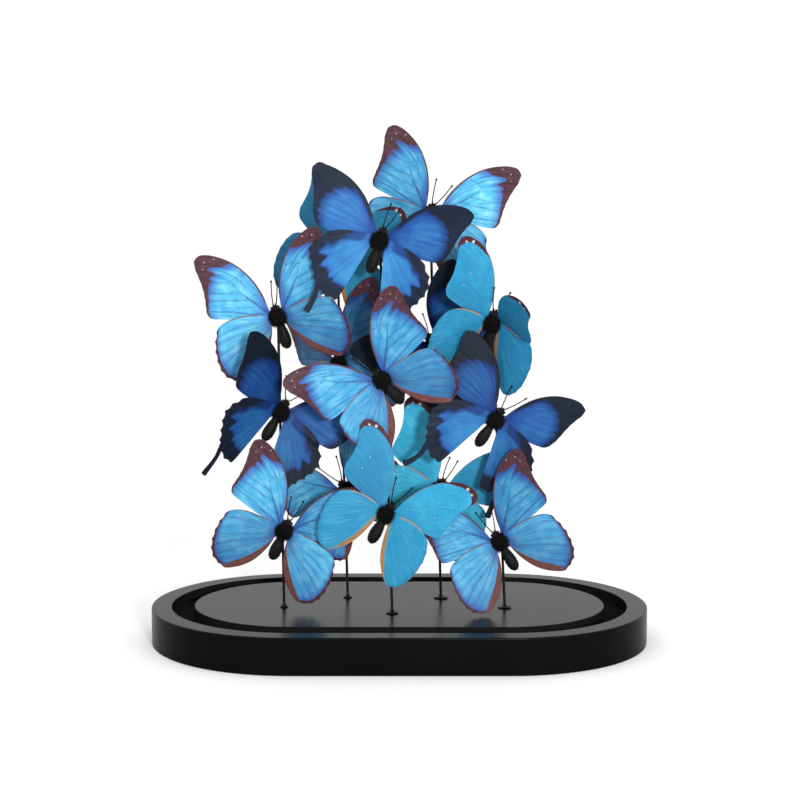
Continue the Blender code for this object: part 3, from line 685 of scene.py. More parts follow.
def swallowtail_hindwing():
    s = WingShade("swallowtail_hindwing", "swallowtail_hind", Roughness=0.5, Specular_IOR_Level=0.12)
    u, v = s.u, s.v
    ray = s.streaks(26.0, 1.3)
    thin = s.streaks(46.0, 2.6, shift=2.0)
    fine = s.mottle(0.45, 3.0, 3.0)
    cloud = s.mottle(12.0)
    colour = s.mix(s.rise(ray * 0.6 + cloud * 0.6 + thin * 0.3 + s.rise(u, 0.35, 0.95) * 0.7, -0.5, 1.5) * 0.85, tone(42, 116, 190), tone(70, 160, 220))
    hair = s.noise(s.both(u * 70.0, v * 7.0, s.seed + 20.0), 1.0, 2.0, 0.6)
    colour = s.mix(s.rise(hair + thin * 0.4, 0.3, 1.4) * 0.3, colour, tone(120, 190, 232))
    colour = s.mix(s.fall(hair + thin * 0.6 + ray * 0.4, -1.6, -0.2) * s.rise(v, 0.05, 0.4) * 0.6, colour, BLUE)
    colour = s.mix(s.fall(v + thin * 0.03, 0.04, 0.28) * 0.65, colour, BLUE)
    colour = s.mix(s.fall(v, 0.0, 0.12) * 0.7, colour, DEEP)
    # black shoulder along the leading edge, black toothed border
    bar = u - s.curve(v, [(0, 0.05), (0.15, 0.36), (0.25, 0.34), (0.35, 0.28), (0.5, 0.25), (0.65, 0.33), (0.75, 0.30), (0.88, 0.33), (1, 0.36)]) + ray * 0.012
    edge = s.curve(
        u,
        [
            (0, 0.72), (0.28, 0.78), (0.345, 0.865), (0.42, 0.80), (0.475, 0.765), (0.54, 0.875), (0.60, 0.80), (0.66, 0.79),
            (0.71, 0.815), (0.76, 0.785), (0.82, 0.805), (0.88, 0.775), (0.94, 0.79), (1, 0.77),
        ],
    )
    edge = edge + s.streaks(55.0, 3.0, shift=7.0) * 0.012 + ray * 0.01
    colour = s.mix(s.rise(v, edge - 0.16, edge) * 0.65, colour, BLUE)
    colour = s.mix(s.rise(v, edge - 0.05, edge + 0.01) * 0.8, colour, DEEP)
    colour = s.mix(s.fall(bar, -0.03, 0.09) * 0.85 * s.rise(v, 0.08, 0.2), colour, DEEP)
    black = s.mix(s.rise(cloud + fine * 0.3 + thin * 0.2, -1.2, 1.4), COAL, INK)
    colour = s.mix(s.fall(bar, -0.08, 0.0) * s.rise(v + ray * 0.03, 0.34, 0.58), colour, black)
    colour = s.mix(s.line(s.front_mm, 1.2, 1.5) * s.rise(v, 0.38, 0.52), colour, black)
    colour = s.mix(s.rise(v, edge - 0.018, edge + 0.022), colour, black)
    # painted light or shade: this wing's colour scaled by its factor, then the fine grain
    s.finish(s.paint_wing_light(colour), fine, 0.0)
    return s.material


CYAN = tone(36, 152, 203)
AQUA = tone(66, 188, 230)
TEAL = tone(34, 116, 170)
WINE_EDGE = tone(96, 34, 48)
ORANGE = tone(214, 158, 92)


def turquoise_forewing():
    s = WingShade("turquoise_forewing", "turquoise_fore", Roughness=0.52, Specular_IOR_Level=0.2)
    u, v = s.u, s.v
    ray = s.streaks(34.0, 1.5)
    thin = s.streaks(46.0, 3.4, shift=2.0)
    fine = s.mottle(0.45, 3.0, 3.0)
    cloud = s.mottle(10.0)
    grit = s.mottle(1.2, 21.0, 4.0)
    hair = s.noise(s.both(u * 70.0, v * 10.0, s.seed + 20.0), 1.0, 2.0, 0.6)
    colour = s.mix(s.rise(ray * 0.6 + cloud + thin * 0.3 + grit * 0.3, -0.5, 1.6) * 0.75, CYAN, AQUA)
    colour = s.mix(s.fall(ray * 0.7 + cloud * 0.8 + thin * 0.3, -1.8, -0.3) * 0.55, colour, TEAL)
    colour = s.mix(s.rise(hair + grit, 0.2, 1.7) * 0.5, colour, tone(120, 208, 236))
    colour = s.mix(s.fall(hair + grit, -1.8, -0.3) * 0.5, colour, TEAL)
    colour = s.mix(s.rise(u - v * 0.45 + cloud * 0.08, 0.05, 0.75) * 0.35, colour, TEAL)
    veins = 0.0
    for line in (
        [(0.1, 0.5), (0.3, 0.47), (0.55, 0.40), (0.66, 0.36)],
        [(0.3, 0.48), (0.5, 0.58), (0.95, 0.63)],
        [(0.5, 0.42), (0.7, 0.48), (0.95, 0.51)],
        [(0.05, 0.78), (0.4, 0.83), (0.95, 0.86)],
    ):
        veins = s.math("MAXIMUM", veins, s.track(line, 0.05, 0.5))
    colour = s.mix(veins * 0.12, colour, TEAL)
    # faint pale scuffs
    scuff = s.rise(s.mottle(3.5, 4.0, 4.0), 0.5, 1.3) * s.rise(v, 0.5, 0.7) * s.fall(u, 0.4, 0.6)
    colour = s.mix(scuff * 0.5, colour, tone(150, 214, 236))
    # painted light or shade: this wing's colour scaled by its factor
    colour = s.paint_wing_light(colour)
    # wine red edge round the tip, widest at the tip itself
    a = s.front_mm + 0.3
    b = s.edge_mm + 0.3
    corner = (a * b) / s.math("SQRT", a * a + b * b)
    width = 4.3 * s.rise(v, 0.56, 0.93) * s.fall(u, 0.10, 0.42)
    ragged = s.mottle(1.3, 2.0) * 0.45
    edge = s.fall(corner + ragged - width, -0.2, 0.2) * s.rise(v, 0.55, 0.6)
    colour = s.mix(edge, colour, s.mix(s.rise(fine + cloud * 0.5, -0.9, 1.2), tone(66, 24, 38), WINE_EDGE))
    spots = s.math("MAXIMUM", s.spot(0.088, 0.89, 1.0, 0.35), s.spot(0.16, 0.928, 0.85, 0.35, 1.3))
    colour = s.mix(spots, colour, CREAM)
    for at in ((0.485, 0.737), (0.688, 0.75)):
        colour = s.mix(s.spot(*at, 1.3, 0.5) * 0.4, colour, TEAL)
        colour = s.mix(s.spot(*at, 0.5, 0.3) * 0.8, colour, tone(195, 228, 238))
    colour = s.mix(s.line(s.front_mm, 0.12, 0.3) * s.rise(v, 0.1, 0.2) * s.fall(v, 0.6, 0.68) * 0.8, colour, tone(150, 110, 80))
    colour = s.mix(s.fall(s.edge_mm, 0.0, 0.6) * 0.35, colour, TEAL)
    s.finish(colour, fine, veins)
    return s.material


def turquoise_hindwing():
    s = WingShade("turquoise_hindwing", "turquoise_hind", Roughness=0.52, Specular_IOR_Level=0.2)
    u, v = s.u, s.v
    ray = s.streaks(30.0, 1.4)
    thin = s.streaks(46.0, 2.6, shift=2.0)
    fine = s.mottle(0.45, 3.0, 3.0)
    cloud = s.mottle(10.0)
    colour = s.mix(s.rise(ray * 0.8 + cloud * 0.6 + thin * 0.4, -0.5, 1.5) * 0.75, CYAN, AQUA)
    colour = s.mix(s.fall(thin + ray * 0.5 + cloud * 0.3, -1.6, -0.1) * s.rise(v, 0.1, 0.5) * 0.7, colour, TEAL)
    hair = s.noise(s.both(u * 64.0, v * 5.0, s.seed + 5.0), 1.0, 2.0, 0.6)
    colour = s.mix(s.rise(hair + thin * 0.5, 0.1, 1.4) * s.rise(v, 0.1, 0.35) * 0.6, colour, tone(150, 218, 232))
    colour = s.mix(s.fall(hair + thin * 0.5, -1.5, -0.2) * s.rise(v, 0.1, 0.35) * 0.6, colour, TEAL)
    colour = s.mix(s.fall(s.edge_mm + ray * 0.4, 0.4, 2.6) * 0.4, colour, TEAL)
    # painted light or shade: this wing's colour scaled by its factor
    colour = s.paint_wing_light(colour)
    where = s.curve(v, [(0, 0.80), (0.2, 0.845), (0.4, 0.885), (0.65, 0.925), (0.85, 0.98), (1, 1.0)])
    strip = (where - u) * v * s.wing.outer_length + thin * 0.35
    colour = s.mix(s.fall(strip, 0.0, 1.8) * 0.4, colour, tone(140, 180, 150))
    warm = s.mix(s.rise(s.streaks(40.0, 6.0, shift=6.0) + cloud * 0.4, -0.9, 1.3), tone(176, 114, 64), tone(213, 158, 98))
    colour = s.mix(s.fall(strip, -0.3, 0.35), colour, warm)
    colour = s.mix(s.line(s.front_mm, 0.35, 0.35) * s.rise(v, 0.12, 0.25) * s.fall(v, 0.72, 0.85), colour, ORANGE)
    s.finish(colour, fine, 0.0)
    return s.material


def underside(name, key, ground, dark, pale, rings):
    """A dusky underside: bands, veins and, on some, a row of ringed spots."""
    s = WingShade(name, key, Roughness=0.62, Specular_IOR_Level=0.25)
    u, v = s.u, s.v
    ray = s.streaks(36.0, 3.0)
    fine = s.streaks(90.0, 6.0, shift=3.0)
    cloud = s.mottle(6.0)
    colour = s.mix(s.rise(cloud + ray * 0.6, -1.0, 1.3), dark, ground)
    band = s.math("SINE", v * 17.0 + cloud * 0.7 + u * 2.0)
    colour = s.mix(s.rise(band, 0.25, 1.0) * s.rise(v, 0.15, 0.35) * 0.4, colour, pale)
    colour = s.mix(s.rise(band, -1.0, -0.5) * 0.0 + s.fall(band, -0.95, -0.6) * 0.35, colour, dark)
    veins = s.line(s.vein_mm, 0.12, 0.3) * s.rise(v, 0.3, 0.38)
    colour = s.mix(veins * 0.5, colour, dark)
    if rings:
        across = (0.5 - s.to_vein) * s.v * (s.wing.outer_length / s.wing.cells)
        along = (v - 0.76) * s.wing.reach
        away = s.math("SQRT", across * across + along * along * 0.7)
        show = s.rise(s.math("SINE", s.math("FLOOR", u * float(s.wing.cells)) * 2.4 + rings), -0.2, 0.0)
        for size, soft, tint in ((2.5, 0.3, tone(196, 160, 84)), (1.9, 0.3, tone(26, 20, 20)), (0.5, 0.25, tone(215, 220, 225))):
            colour = s.mix(s.fall(away, size - soft, size + soft) * show, colour, tint)
    colour = s.mix(s.fall(s.edge_mm, 0.8, 2.2) * 0.6, colour, dark)
    s.put(colour, s.surface.inputs["Base Color"])
    s.put(0.62 + fine * 0.05, s.surface.inputs["Roughness"])
    s.bump(fine + veins * 2.0, 0.3, 0.0002)
    return s.material


def fur(name, low, high, rough, scale):
    s = Shade(name, Roughness=rough, Specular_IOR_Level=0.08)
    grain = s.noise(s.own_place(), scale, 3.0, 0.6)
    s.put(s.mix(s.rise(grain, -1.0, 1.2), low, high), s.surface.inputs["Base Color"])
    s.put(rough + grain * 0.06, s.surface.inputs["Roughness"])
    return s.material


def lacquer(name, gloss):
    s = Shade(name, IOR=gloss)
    place = s.own_place()
    broad = s.noise(place, 14.0, 3.0, 0.5)
    grain = s.noise(place, 900.0, 2.0, 0.5)
    dust = s.noise(place, 420.0, 1.0, 0.3)
    colour = s.mix(s.rise(broad + grain * 0.4, -1.2, 1.4), (0.0018, 0.0018, 0.0021), (0.0034, 0.0034, 0.0038))
    colour = s.mix(s.rise(dust, 1.2, 1.5) * 0.15, colour, (0.015, 0.015, 0.015))
    s.put(colour, s.surface.inputs["Base Color"])
    s.put(0.27 + broad * 0.02 + grain * 0.006, s.surface.inputs["Roughness"])
    s.bump(grain, 0.015, 0.0001)
    return s.material


def satin_black(name, rough, scale):
    s = Shade(name, Specular_IOR_Level=0.12)
    grain = s.noise(s.own_place(), scale, 3.0, 0.6)
    s.put(s.mix(s.rise(grain, -1.0, 1.3), (0.0015, 0.0015, 0.0015), (0.005, 0.005, 0.0055)), s.surface.inputs["Base Color"])
    s.put(rough + grain * 0.07, s.surface.inputs["Roughness"])
    s.bump(grain, 0.12, 0.0001)
    return s.material


LACQUER = lacquer("black_lacquer", 1.162)
# painted shade: the same lacquer with less reflection, for the outer wall, so that the wall comes out darker
SHADED_SIDE_LACQUER = lacquer("black_lacquer_shaded_side", 1.095)


def lining():
    """The matt black inside of the groove."""
    s = Shade("black_groove", Roughness=0.95, Specular_IOR_Level=0.0)
    nap = s.noise(s.own_place(), 1600.0, 3.0, 0.6)
    s.put(s.mix(s.rise(nap, -1.0, 1.2), (0.005, 0.005, 0.0051), (0.014, 0.014, 0.0143)), s.surface.inputs["Base Color"])
    s.put(0.93 + nap * 0.05, s.surface.inputs["Roughness"])
    s.bump(nap, 0.3, 0.0002)
    return s.material


LINING = lining()
ROD = satin_black("black_rod", 0.42, 700.0)
FOOT = satin_black("black_foot", 0.38, 900.0)
FUR = fur("black_fur", (0.002, 0.002, 0.0022), (0.014, 0.0137, 0.0142), 0.7, 1500.0)
ABDOMEN = fur("black_abdomen", (0.0018, 0.0017, 0.0017), (0.012, 0.0115, 0.011), 0.5, 1200.0)
FEELER = satin_black("black_antenna", 0.45, 2500.0)
EYE = Shade("eye", Roughness=0.25, Specular_IOR_Level=0.3)
facets = EYE.noise(EYE.own_place(), 5200.0, 1.0, 0.4)
EYE.put(EYE.mix(EYE.rise(facets, -0.6, 0.8), (0.003, 0.002, 0.002), (0.014, 0.009, 0.007)), EYE.surface.inputs["Base Color"])
EYE = EYE.material

UPPER = {
    "morpho_fore": morpho_forewing(),
    "morpho_hind": morpho_hindwing(),
    "swallowtail_fore": swallowtail_forewing(),
    "swallowtail_hind": swallowtail_hindwing(),
    "turquoise_fore": turquoise_forewing(),
    "turquoise_hind": turquoise_hindwing(),
}
UNDER = {}
for kind, ground, dark, pale, rings in (
    ("morpho", tone(104, 74, 58), tone(58, 40, 34), tone(168, 138, 108), 1.0),
    ("swallowtail", tone(58, 52, 50), tone(26, 24, 26), tone(104, 96, 88), 0.0),
    ("turquoise", tone(150, 122, 92), tone(92, 70, 54), tone(196, 176, 140), 2.2),
):
    for pair in ("fore", "hind"):
        UNDER[kind + "_" + pair] = underside(
            "%s_%swing_underside" % (kind, pair), kind + "_" + pair, ground, dark, pale, rings if pair == "hind" or kind == "morpho" else 0.0
        )

# --------------------------------------------------------------------- meshes


def build(name, points, faces, materials, slots=None, smooth=True, sharp=None):
    mesh = bpy.data.meshes.new(name)
    mesh.from_pydata((np.asarray(points) * MM).tolist(), [], faces)
    for m in materials:
        mesh.materials.append(m)
    if slots is not None:
        mesh.polygons.foreach_set("material_index", np.asarray(slots, np.int32))
    mesh.polygons.foreach_set("use_smooth", np.full(len(faces), smooth))
    mesh.update()
    if sharp is not None:
        mesh.set_sharp_from_angle(angle=math.radians(sharp))
    made = bpy.data.objects.new(name, mesh)
    bpy.context.scene.collection.objects.link(made)
    return made


def chart(mesh, name, values, loops):
    """A UV map from one pair of numbers for each corner."""
    layer = mesh.uv_layers.new(name=name)
    layer.uv.foreach_set("vector", np.asarray(values, np.float32)[loops].ravel())


def corner_points(mesh):
    out = np.empty(len(mesh.loops), np.int32)
    mesh.loops.foreach_get("vertex_index", out)
    return out


def settle(piece, node, slot, *more):
    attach(piece, "root")
    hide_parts(node, *more)
    return piece


def wing_matrix(side, pair, sweep, lift, twist, size):
    pivot = FOREWING_PIVOT if pair == "fore" else HINDWING_PIVOT
    up = HINGE_UP + (0.0 if pair == "fore" else HINDWING_STEP)
    hinge = Matrix.Translation(Vector((side * HINGE_OUT, pivot, up)) * size)
    back = Matrix.Translation(Vector((-side * HINGE_OUT, -pivot, 0.0)) * size)
    lifted = Matrix.Rotation(math.radians(-side * lift), 4, "Y")
    twisted = Matrix.Rotation(math.radians(twist), 4, "X")
    swept = Matrix.Rotation(math.radians(side * sweep), 4, "Z")
    return hinge @ lifted @ twisted @ swept @ back


TO_BODY = Matrix(((1, 0, 0, 0), (0, 0, -1, 0), (0, 1, 0, 0), (0, 0, 0, 1)))


def body_place(row):
    _, _, x, y, height, lean, turn, nod = row[:8]
    return (
        Matrix.Translation(Vector((x, y, height + BASE_HEIGHT)))
        @ Matrix.Rotation(math.radians(lean), 4, "Y")
        @ Matrix.Rotation(math.radians(turn), 4, "Z")
        @ Matrix.Rotation(math.radians(nod), 4, "X")
    )


def moved(matrix, points):
    m = np.array(matrix)
    return points @ m[:3, :3].T + m[:3, 3]


def step(x, low, high):
    t = np.clip((x - low) / (high - low), 0, 1)
    return t * t * (3 - 2 * t)


def wing_samples(wing):
    """Values of u with a vein's line and its two sides among them, and of v."""
    width = 0.28 / wing.outer_length
    us = []
    for k in range(wing.cells):
        us.append(k / wing.cells)
        inside = np.linspace(0, 1, 7)[1:-1] / wing.cells + k / wing.cells
        us += [k / wing.cells + width] + list(inside) + [(k + 1) / wing.cells - width]
    us = np.array(us + [1.0])
    vs = np.r_[np.linspace(0, 0.86, 20), np.linspace(0.9, 1.0, 6)]
    return us, vs


def relief(wing, U, V, rng, camber):
    """How far the surface stands out of its plane: folds between veins, ridges
    on the veins, a gentle arch and slight waves near the edge."""
    cells = wing.cells
    k = np.clip(np.floor(U * cells).astype(int), 0, cells - 1)
    depth = rng.uniform(0.5, 1.25, cells)[k]
    fold = -0.07 * depth * np.sin(np.pi * (U * cells - k)) ** 2 * step(V, 0.12, 0.6)
    on_vein = np.abs(U * cells - np.round(U * cells)) < 1e-6
    fold += np.where(on_vein, 0.05, 0.0) * step(V, 0.2, 0.5) * (1 - step(V, 0.93, 1.0))
    arch = camber * (1 - (2 * U - 1) ** 2) * np.sin(np.pi * np.clip(V, 0, 1) * 0.8)
    droop = -0.35 * camber * V**3
    wave = np.zeros_like(U)
    for _ in range(3):
        a, b, c = rng.uniform(1.2, 3.6), rng.uniform(0, 6.3), rng.uniform(0.6, 1.8)
        wave += np.sin(a * 2 * math.pi * U + b + c * V)
    fine = np.sin(U * cells * 2.3 * math.pi + rng.uniform(0, 6)) * 0.05 * step(V, 0.7, 1.0)
    return fold + arch + droop + 0.12 * wave * step(V, 0.45, 1.0) + fine


def wing_surface(wing, rng, camber):
    us, vs = wing_samples(wing)
    flat = wing.patch(us, vs)
    U, V = np.meshgrid(us, vs)
    z = relief(wing, U, V, rng, camber)
    points = np.concatenate([flat, z[..., None]], 2)
    # one more row reaches in under the fur
    root = points[:1].copy()
    root[..., 0] -= 2.0
    points = np.concatenate([root, points])
    U = np.vstack([U[:1], U])
    V = np.vstack([np.full_like(U[:1], -0.03), V])
    return points, U, V


def plate(points, U, V, thick):
    """A closed plate from a grid of its middle surface: points, faces, slots of
    the faces (0 upper, 1 under) and each point's u, v and flat place."""
    rows, cols = U.shape
    across = np.gradient(points, axis=1)
    along = np.gradient(points, axis=0)
    normal = np.cross(along, across)
    normal /= np.maximum(np.linalg.norm(normal, axis=2), 1e-9)[..., None]
    normal[normal[..., 2] < 0] *= -1
    half = (thick * (1 - 0.4 * np.clip(V, 0, 1)) / 2)[..., None]
    top = (points + normal * half).reshape(-1, 3)
    low = (points - normal * half).reshape(-1, 3)
    n = rows * cols
    i = np.arange(n).reshape(rows, cols)
    a, b, c, d = i[:-1, :-1], i[:-1, 1:], i[1:, 1:], i[1:, :-1]
    quads = np.stack([a, b, c, d], -1).reshape(-1, 4)
    loop = np.r_[i[0, :], i[1:, -1], i[-1, -2::-1], i[-2:0:-1, 0]]
    after = np.roll(loop, -1)
    rim = np.stack([loop, after, after + n, loop + n], -1)
    faces = [quads, quads[:, ::-1] + n, rim[:, ::-1]]
    # decide which way round the upper faces go
    p = top[quads[len(quads) // 2]]
    if np.cross(p[1] - p[0], p[2] - p[0])[2] < 0:
        faces = [f[:, ::-1] for f in faces]
    slots = np.r_[np.zeros(len(quads)), np.ones(len(quads)), np.zeros(len(rim))]
    flat = points[..., :2].reshape(-1, 2)
    uv = np.stack([U, V], -1).reshape(-1, 2)
    return np.vstack([top, low]), np.vstack(faces), slots, np.vstack([uv, uv]), np.vstack([flat, flat]), n


def tail_plate(bend, thick):
    """A swallowtail's tail: a flat strip with a rounded end."""
    line = through([(x, y) for x, y, _ in TAIL])
    widths = through([(w, 0) for _, _, w in TAIL])
    s = np.linspace(0, len(TAIL) - 1, 30)
    middle = line(s)
    half = widths(s)[:, 0]
    share = np.clip((s - 1) / (len(TAIL) - 2), 0, 1)
    middle = middle + np.outer(share**1.6, bend)
    end = len(TAIL) - 1
    # round the end off
    last = middle[-1] - middle[-2]
    last /= np.linalg.norm(last)
    cap = [(0.35, 0.95), (0.6, 0.75), (0.68, 0.3)]
    middle = np.vstack([middle] + [middle[-1] + last * a * half[-1] * 0.55 for a, _ in cap])
    half = np.r_[half, [half[len(s) - 1] * b for _, b in cap]]
    along = np.gradient(middle, axis=0)
    along /= np.linalg.norm(along, axis=1)[:, None]
    side = np.c_[-along[:, 1], along[:, 0]]
    across = np.linspace(-1, 1, 7)
    grid = middle[:, None] + side[:, None] * (half[:, None] * across[None])[..., None]
    z = 0.12 * (across[None] ** 2) * np.ones(len(middle))[:, None] + 0.05
    points = np.concatenate([grid, z[..., None]], 2)
    U = np.tile(np.linspace(0.7, 0.8, 7), (len(middle), 1))
    V = np.tile(np.linspace(0.965, 1.0, len(middle))[:, None], (1, 7))
    return plate(points, U, V, thick)


def lay_on(points, side, size, fore, hind, wing):
    """Lifts the part of a hindwing that lies over its forewing clear of it."""
    there = np.array(fore.inverted() @ hind)
    local = points * np.array([side, 1, 1]) * size
    at = local @ there[:3, :3].T + there[:3, 3]
    x, y = at[:, 0] * side / size, at[:, 1] / size
    share = np.linspace(0, 1, 60)
    inner = wing.back(share)
    over = y - np.interp(x, inner[:, 0], inner[:, 1])
    weight = step(over, -3.5, 0.3) * step(-x, -50, -42) * step(x, 3, 7)
    need = 0.55 * size - at[:, 2]
    at[:, 2] += weight * np.clip(need, 0, 4.0)
    back = np.linalg.inv(there)
    local = at @ back[:3, :3].T + back[:3, 3]
    return local / size * np.array([side, 1, 1])


def make_wings(name, row, pair):
    kind, size, twist = row[0], row[14], row[17]
    key = kind + "_" + pair
    wing = WINGS[key]
    place = body_place(row) @ TO_BODY
    points, faces, slots, uvs, flats, vary, painted_light_factors, bake = [], [], [], [], [], [], [], []
    count = 0
    for index, side in enumerate((-1, 1)):
        seed = sum(ord(c) * (i + 3) for i, c in enumerate(name + pair)) + 911 * index
        rng = np.random.default_rng(seed)
        turned = twist if (pair == "fore" and side == 1) else 0
        forward = wing_matrix(side, "fore", row[10 + index], row[8 + index], twist if side == 1 else 0, size)
        if pair == "fore":
            matrix = forward
        else:
            matrix = wing_matrix(side, "hind", row[12 + index], row[8 + index] + row[15 + index], 0, size)
        grid, U, V = wing_surface(wing, rng, 0.75)
        if pair == "hind":
            shape = grid.shape
            grid = lay_on(grid.reshape(-1, 3), side, size, forward, matrix, WINGS[kind + "_fore"]).reshape(shape)
        plates = [plate(grid, U, V, 0.28)]
        if key == "swallowtail_hind":
            plates.append(tail_plate(np.array(TAIL_BEND.get((name, side), (0.0, 0.0))), 0.4))
        for number, (p, f, sl, uv, flat, half) in enumerate(plates):
            local = p * np.array([side, 1, 1]) * size
            points.append(moved(place @ matrix, local))
            faces.append((f if side == 1 else f[:, ::-1]) + count)
            slots.append(sl)
            uvs.append(uv)
            flats.append(flat / 100)
            vary.append(np.full(len(p), rng.random()))
            # each wing's painted light or shade factor, kept on its points
            painted_light_factors.append(np.full(len(p), PAINTED_WING_LIGHT.get((name, pair, side), 1.0)))
            # places on a second chart, worked out but not made into a map: left and right, above and below, side by
            # side
            low, high = np.array([0.0, -68.0]), np.array([60.0, 56.0])
            unit = (flat - low) / (high - low)
            cell = np.zeros((len(p), 2))
            cell[:, 0] = np.where(np.arange(len(p)) < half, 0, 2) + index
            at = np.c_[(cell[:, 0] + 0.02 + unit[:, 0] * 0.96) / 4, 0.02 + unit[:, 1] * 0.96]
            bake.append(at)
            count += len(p)
    points, faces = np.vstack(points), np.vstack(faces)
    made = build("%s_%swings" % (name, pair), points, faces.tolist(), [UPPER[key], UNDER[key]], np.concatenate(slots), True, 55)
    mesh = made.data
    loops = corner_points(mesh)
    chart(mesh, "wing", np.vstack(uvs), loops)
    chart(mesh, "flat", np.vstack(flats), loops)
    # vary is each wing's random tone; depth is its painted light or shade factor
    for label, values in (("vary", vary), ("depth", painted_light_factors)):
        own = mesh.attributes.new(label, "FLOAT", "POINT")
        own.data.foreach_set("value", np.concatenate(values).astype(np.float32))
    return settle(made, name, SLOT[kind])


# Body, from the head's front to the end of the abdomen: distance along, half
# width, height above and depth below.
BODY = [
    (9.2, 0.2, 0.2, 0.2),
    (8.9, 1.2, 1.1, 1.1),
    (8.2, 2.2, 2.0, 2.0),
    (7.3, 2.8, 2.5, 2.5),
    (6.3, 2.95, 2.7, 2.7),
    (5.4, 2.85, 2.6, 2.7),
    (4.7, 3.1, 2.9, 3.0),
    (3.9, 4.0, 3.7, 3.6),
    (2.5, 5.4, 4.8, 4.2),
    (0.3, 6.0, 5.2, 4.4),
    (-1.9, 5.8, 5.0, 4.3),
    (-3.9, 4.8, 4.2, 3.9),
    (-5.4, 3.5, 3.0, 3.0),
    (-6.4, 2.8, 2.4, 2.5),
    (-7.8, 3.0, 2.6, 2.6),
    (-10.4, 3.6, 3.1, 3.0),
    (-13.5, 4.1, 3.6, 3.4),
    (-17.0, 4.25, 3.7, 3.4),
    (-20.0, 3.8, 3.3, 3.0),
    (-22.2, 2.7, 2.3, 2.2),
    (-23.3, 1.4, 1.2, 1.2),
    (-23.7, 0.2, 0.2, 0.2),
]


def reach_to_rod(row):
    _, rod, x, y, height = row[:5]
    foot, top, _ = RODS[rod]
    rod_y = foot[1] + (top[1] - foot[1]) * height / top[2]
    return rod_y - y - ROD_RADIUS - 0.1


def body_core(row, size):
    """The body's skin: points, faces, and the slot of each face (0 fur, 1 abdomen)."""
    table = np.array(BODY)
    rows, cols = 70, 30
    y = np.interp(np.linspace(0, 1, rows), np.linspace(0, 1, len(table)), table[:, 0])
    shape = through(table)(np.linspace(0, len(table) - 1, rows))
    y, wide, high, low = shape.T
    wide, high, low = (np.maximum(k, 0.15) for k in (wide, high, low))
    rings = np.where(y < -7.5, 1 - 0.07 * np.abs(np.sin((y + 7.5) * math.pi / 2.7)) ** 6, 1)
    wide, high, low = wide * rings, high * rings, low * rings
    deep = reach_to_rod(row) / (4.4 * size)
    share = np.where((y > -5.5) & (y < 6), np.cos(np.pi / 2 * (y - 0.4) / 6.2) ** 2, 0)
    low = low * (1 + (max(deep, 1.0) - 1) * share)
    angle = np.linspace(0, 2 * math.pi, cols, endpoint=False)
    c, s = np.cos(angle), np.sin(angle)
    z = np.where(s[None] > 0, high[:, None], low[:, None]) * s[None]
    z = z - (1.2 * (np.clip(-y - 8, 0, 99) / 20) ** 2)[:, None]
    points = np.stack([wide[:, None] * c[None], np.repeat(y[:, None], cols, 1), z], -1)
    i = np.arange(rows * cols).reshape(rows, cols)
    j = np.roll(i, -1, 1)
    quads = np.stack([i[:-1], i[1:], j[1:], j[:-1]], -1).reshape(-1, 4)
    faces = quads.tolist() + [list(i[0][::1]), list(i[-1][::-1])]
    centre_y = points[..., 1].reshape(-1)[quads].mean(1)
    slots = np.r_[np.where(centre_y < -6.5, 1, 0), 0, 1]
    return points, faces, slots


def hairs(roots, ways, lengths, widths, droop, rng):
    """Each hair is a thin closed three-sided spike."""
    n = len(roots)
    ways = ways / np.linalg.norm(ways, axis=1)[:, None]
    other = rng.normal(size=(n, 3))
    a = np.cross(ways, other)
    a /= np.linalg.norm(a, axis=1)[:, None]
    b = np.cross(ways, a)
    points = np.empty((n, 4, 3))
    for k in range(3):
        t = 2 * math.pi * k / 3
        points[:, k] = roots + (a * math.cos(t) + b * math.sin(t)) * widths[:, None]
    points[:, 3] = roots + ways * lengths[:, None] + droop * (lengths * 0.3)[:, None]
    base = np.arange(n)[:, None] * 4
    threes = [base + np.array([0, 2, 1])] + [base + np.array([k, (k + 1) % 3, 3]) for k in range(3)]
    return points.reshape(-1, 3), np.vstack(threes)


def ball(centre, radii, rows=14, cols=20):
    lat = np.linspace(0, math.pi, rows)
    lon = np.linspace(0, 2 * math.pi, cols, endpoint=False)
    p = np.stack(
        [
            np.sin(lat)[:, None] * np.cos(lon)[None],
            np.sin(lat)[:, None] * np.sin(lon)[None],
            np.repeat(np.cos(lat)[:, None], cols, 1),
        ],
        -1,
    )
    inner = p[1:-1].reshape(-1, 3)
    points = np.vstack([inner, [[0, 0, 1]], [[0, 0, -1]]]) * np.array(radii) + np.array(centre)
    i = np.arange((rows - 2) * cols).reshape(rows - 2, cols)
    j = np.roll(i, -1, 1)
    faces = np.stack([i[:-1], i[1:], j[1:], j[:-1]], -1).reshape(-1, 4).tolist()
    top, bottom = len(inner), len(inner) + 1
    faces += [[top, int(i[0, k]), int(j[0, k])] for k in range(cols)]
    faces += [[bottom, int(j[-1, k]), int(i[-1, k])] for k in range(cols)]
    return points, faces


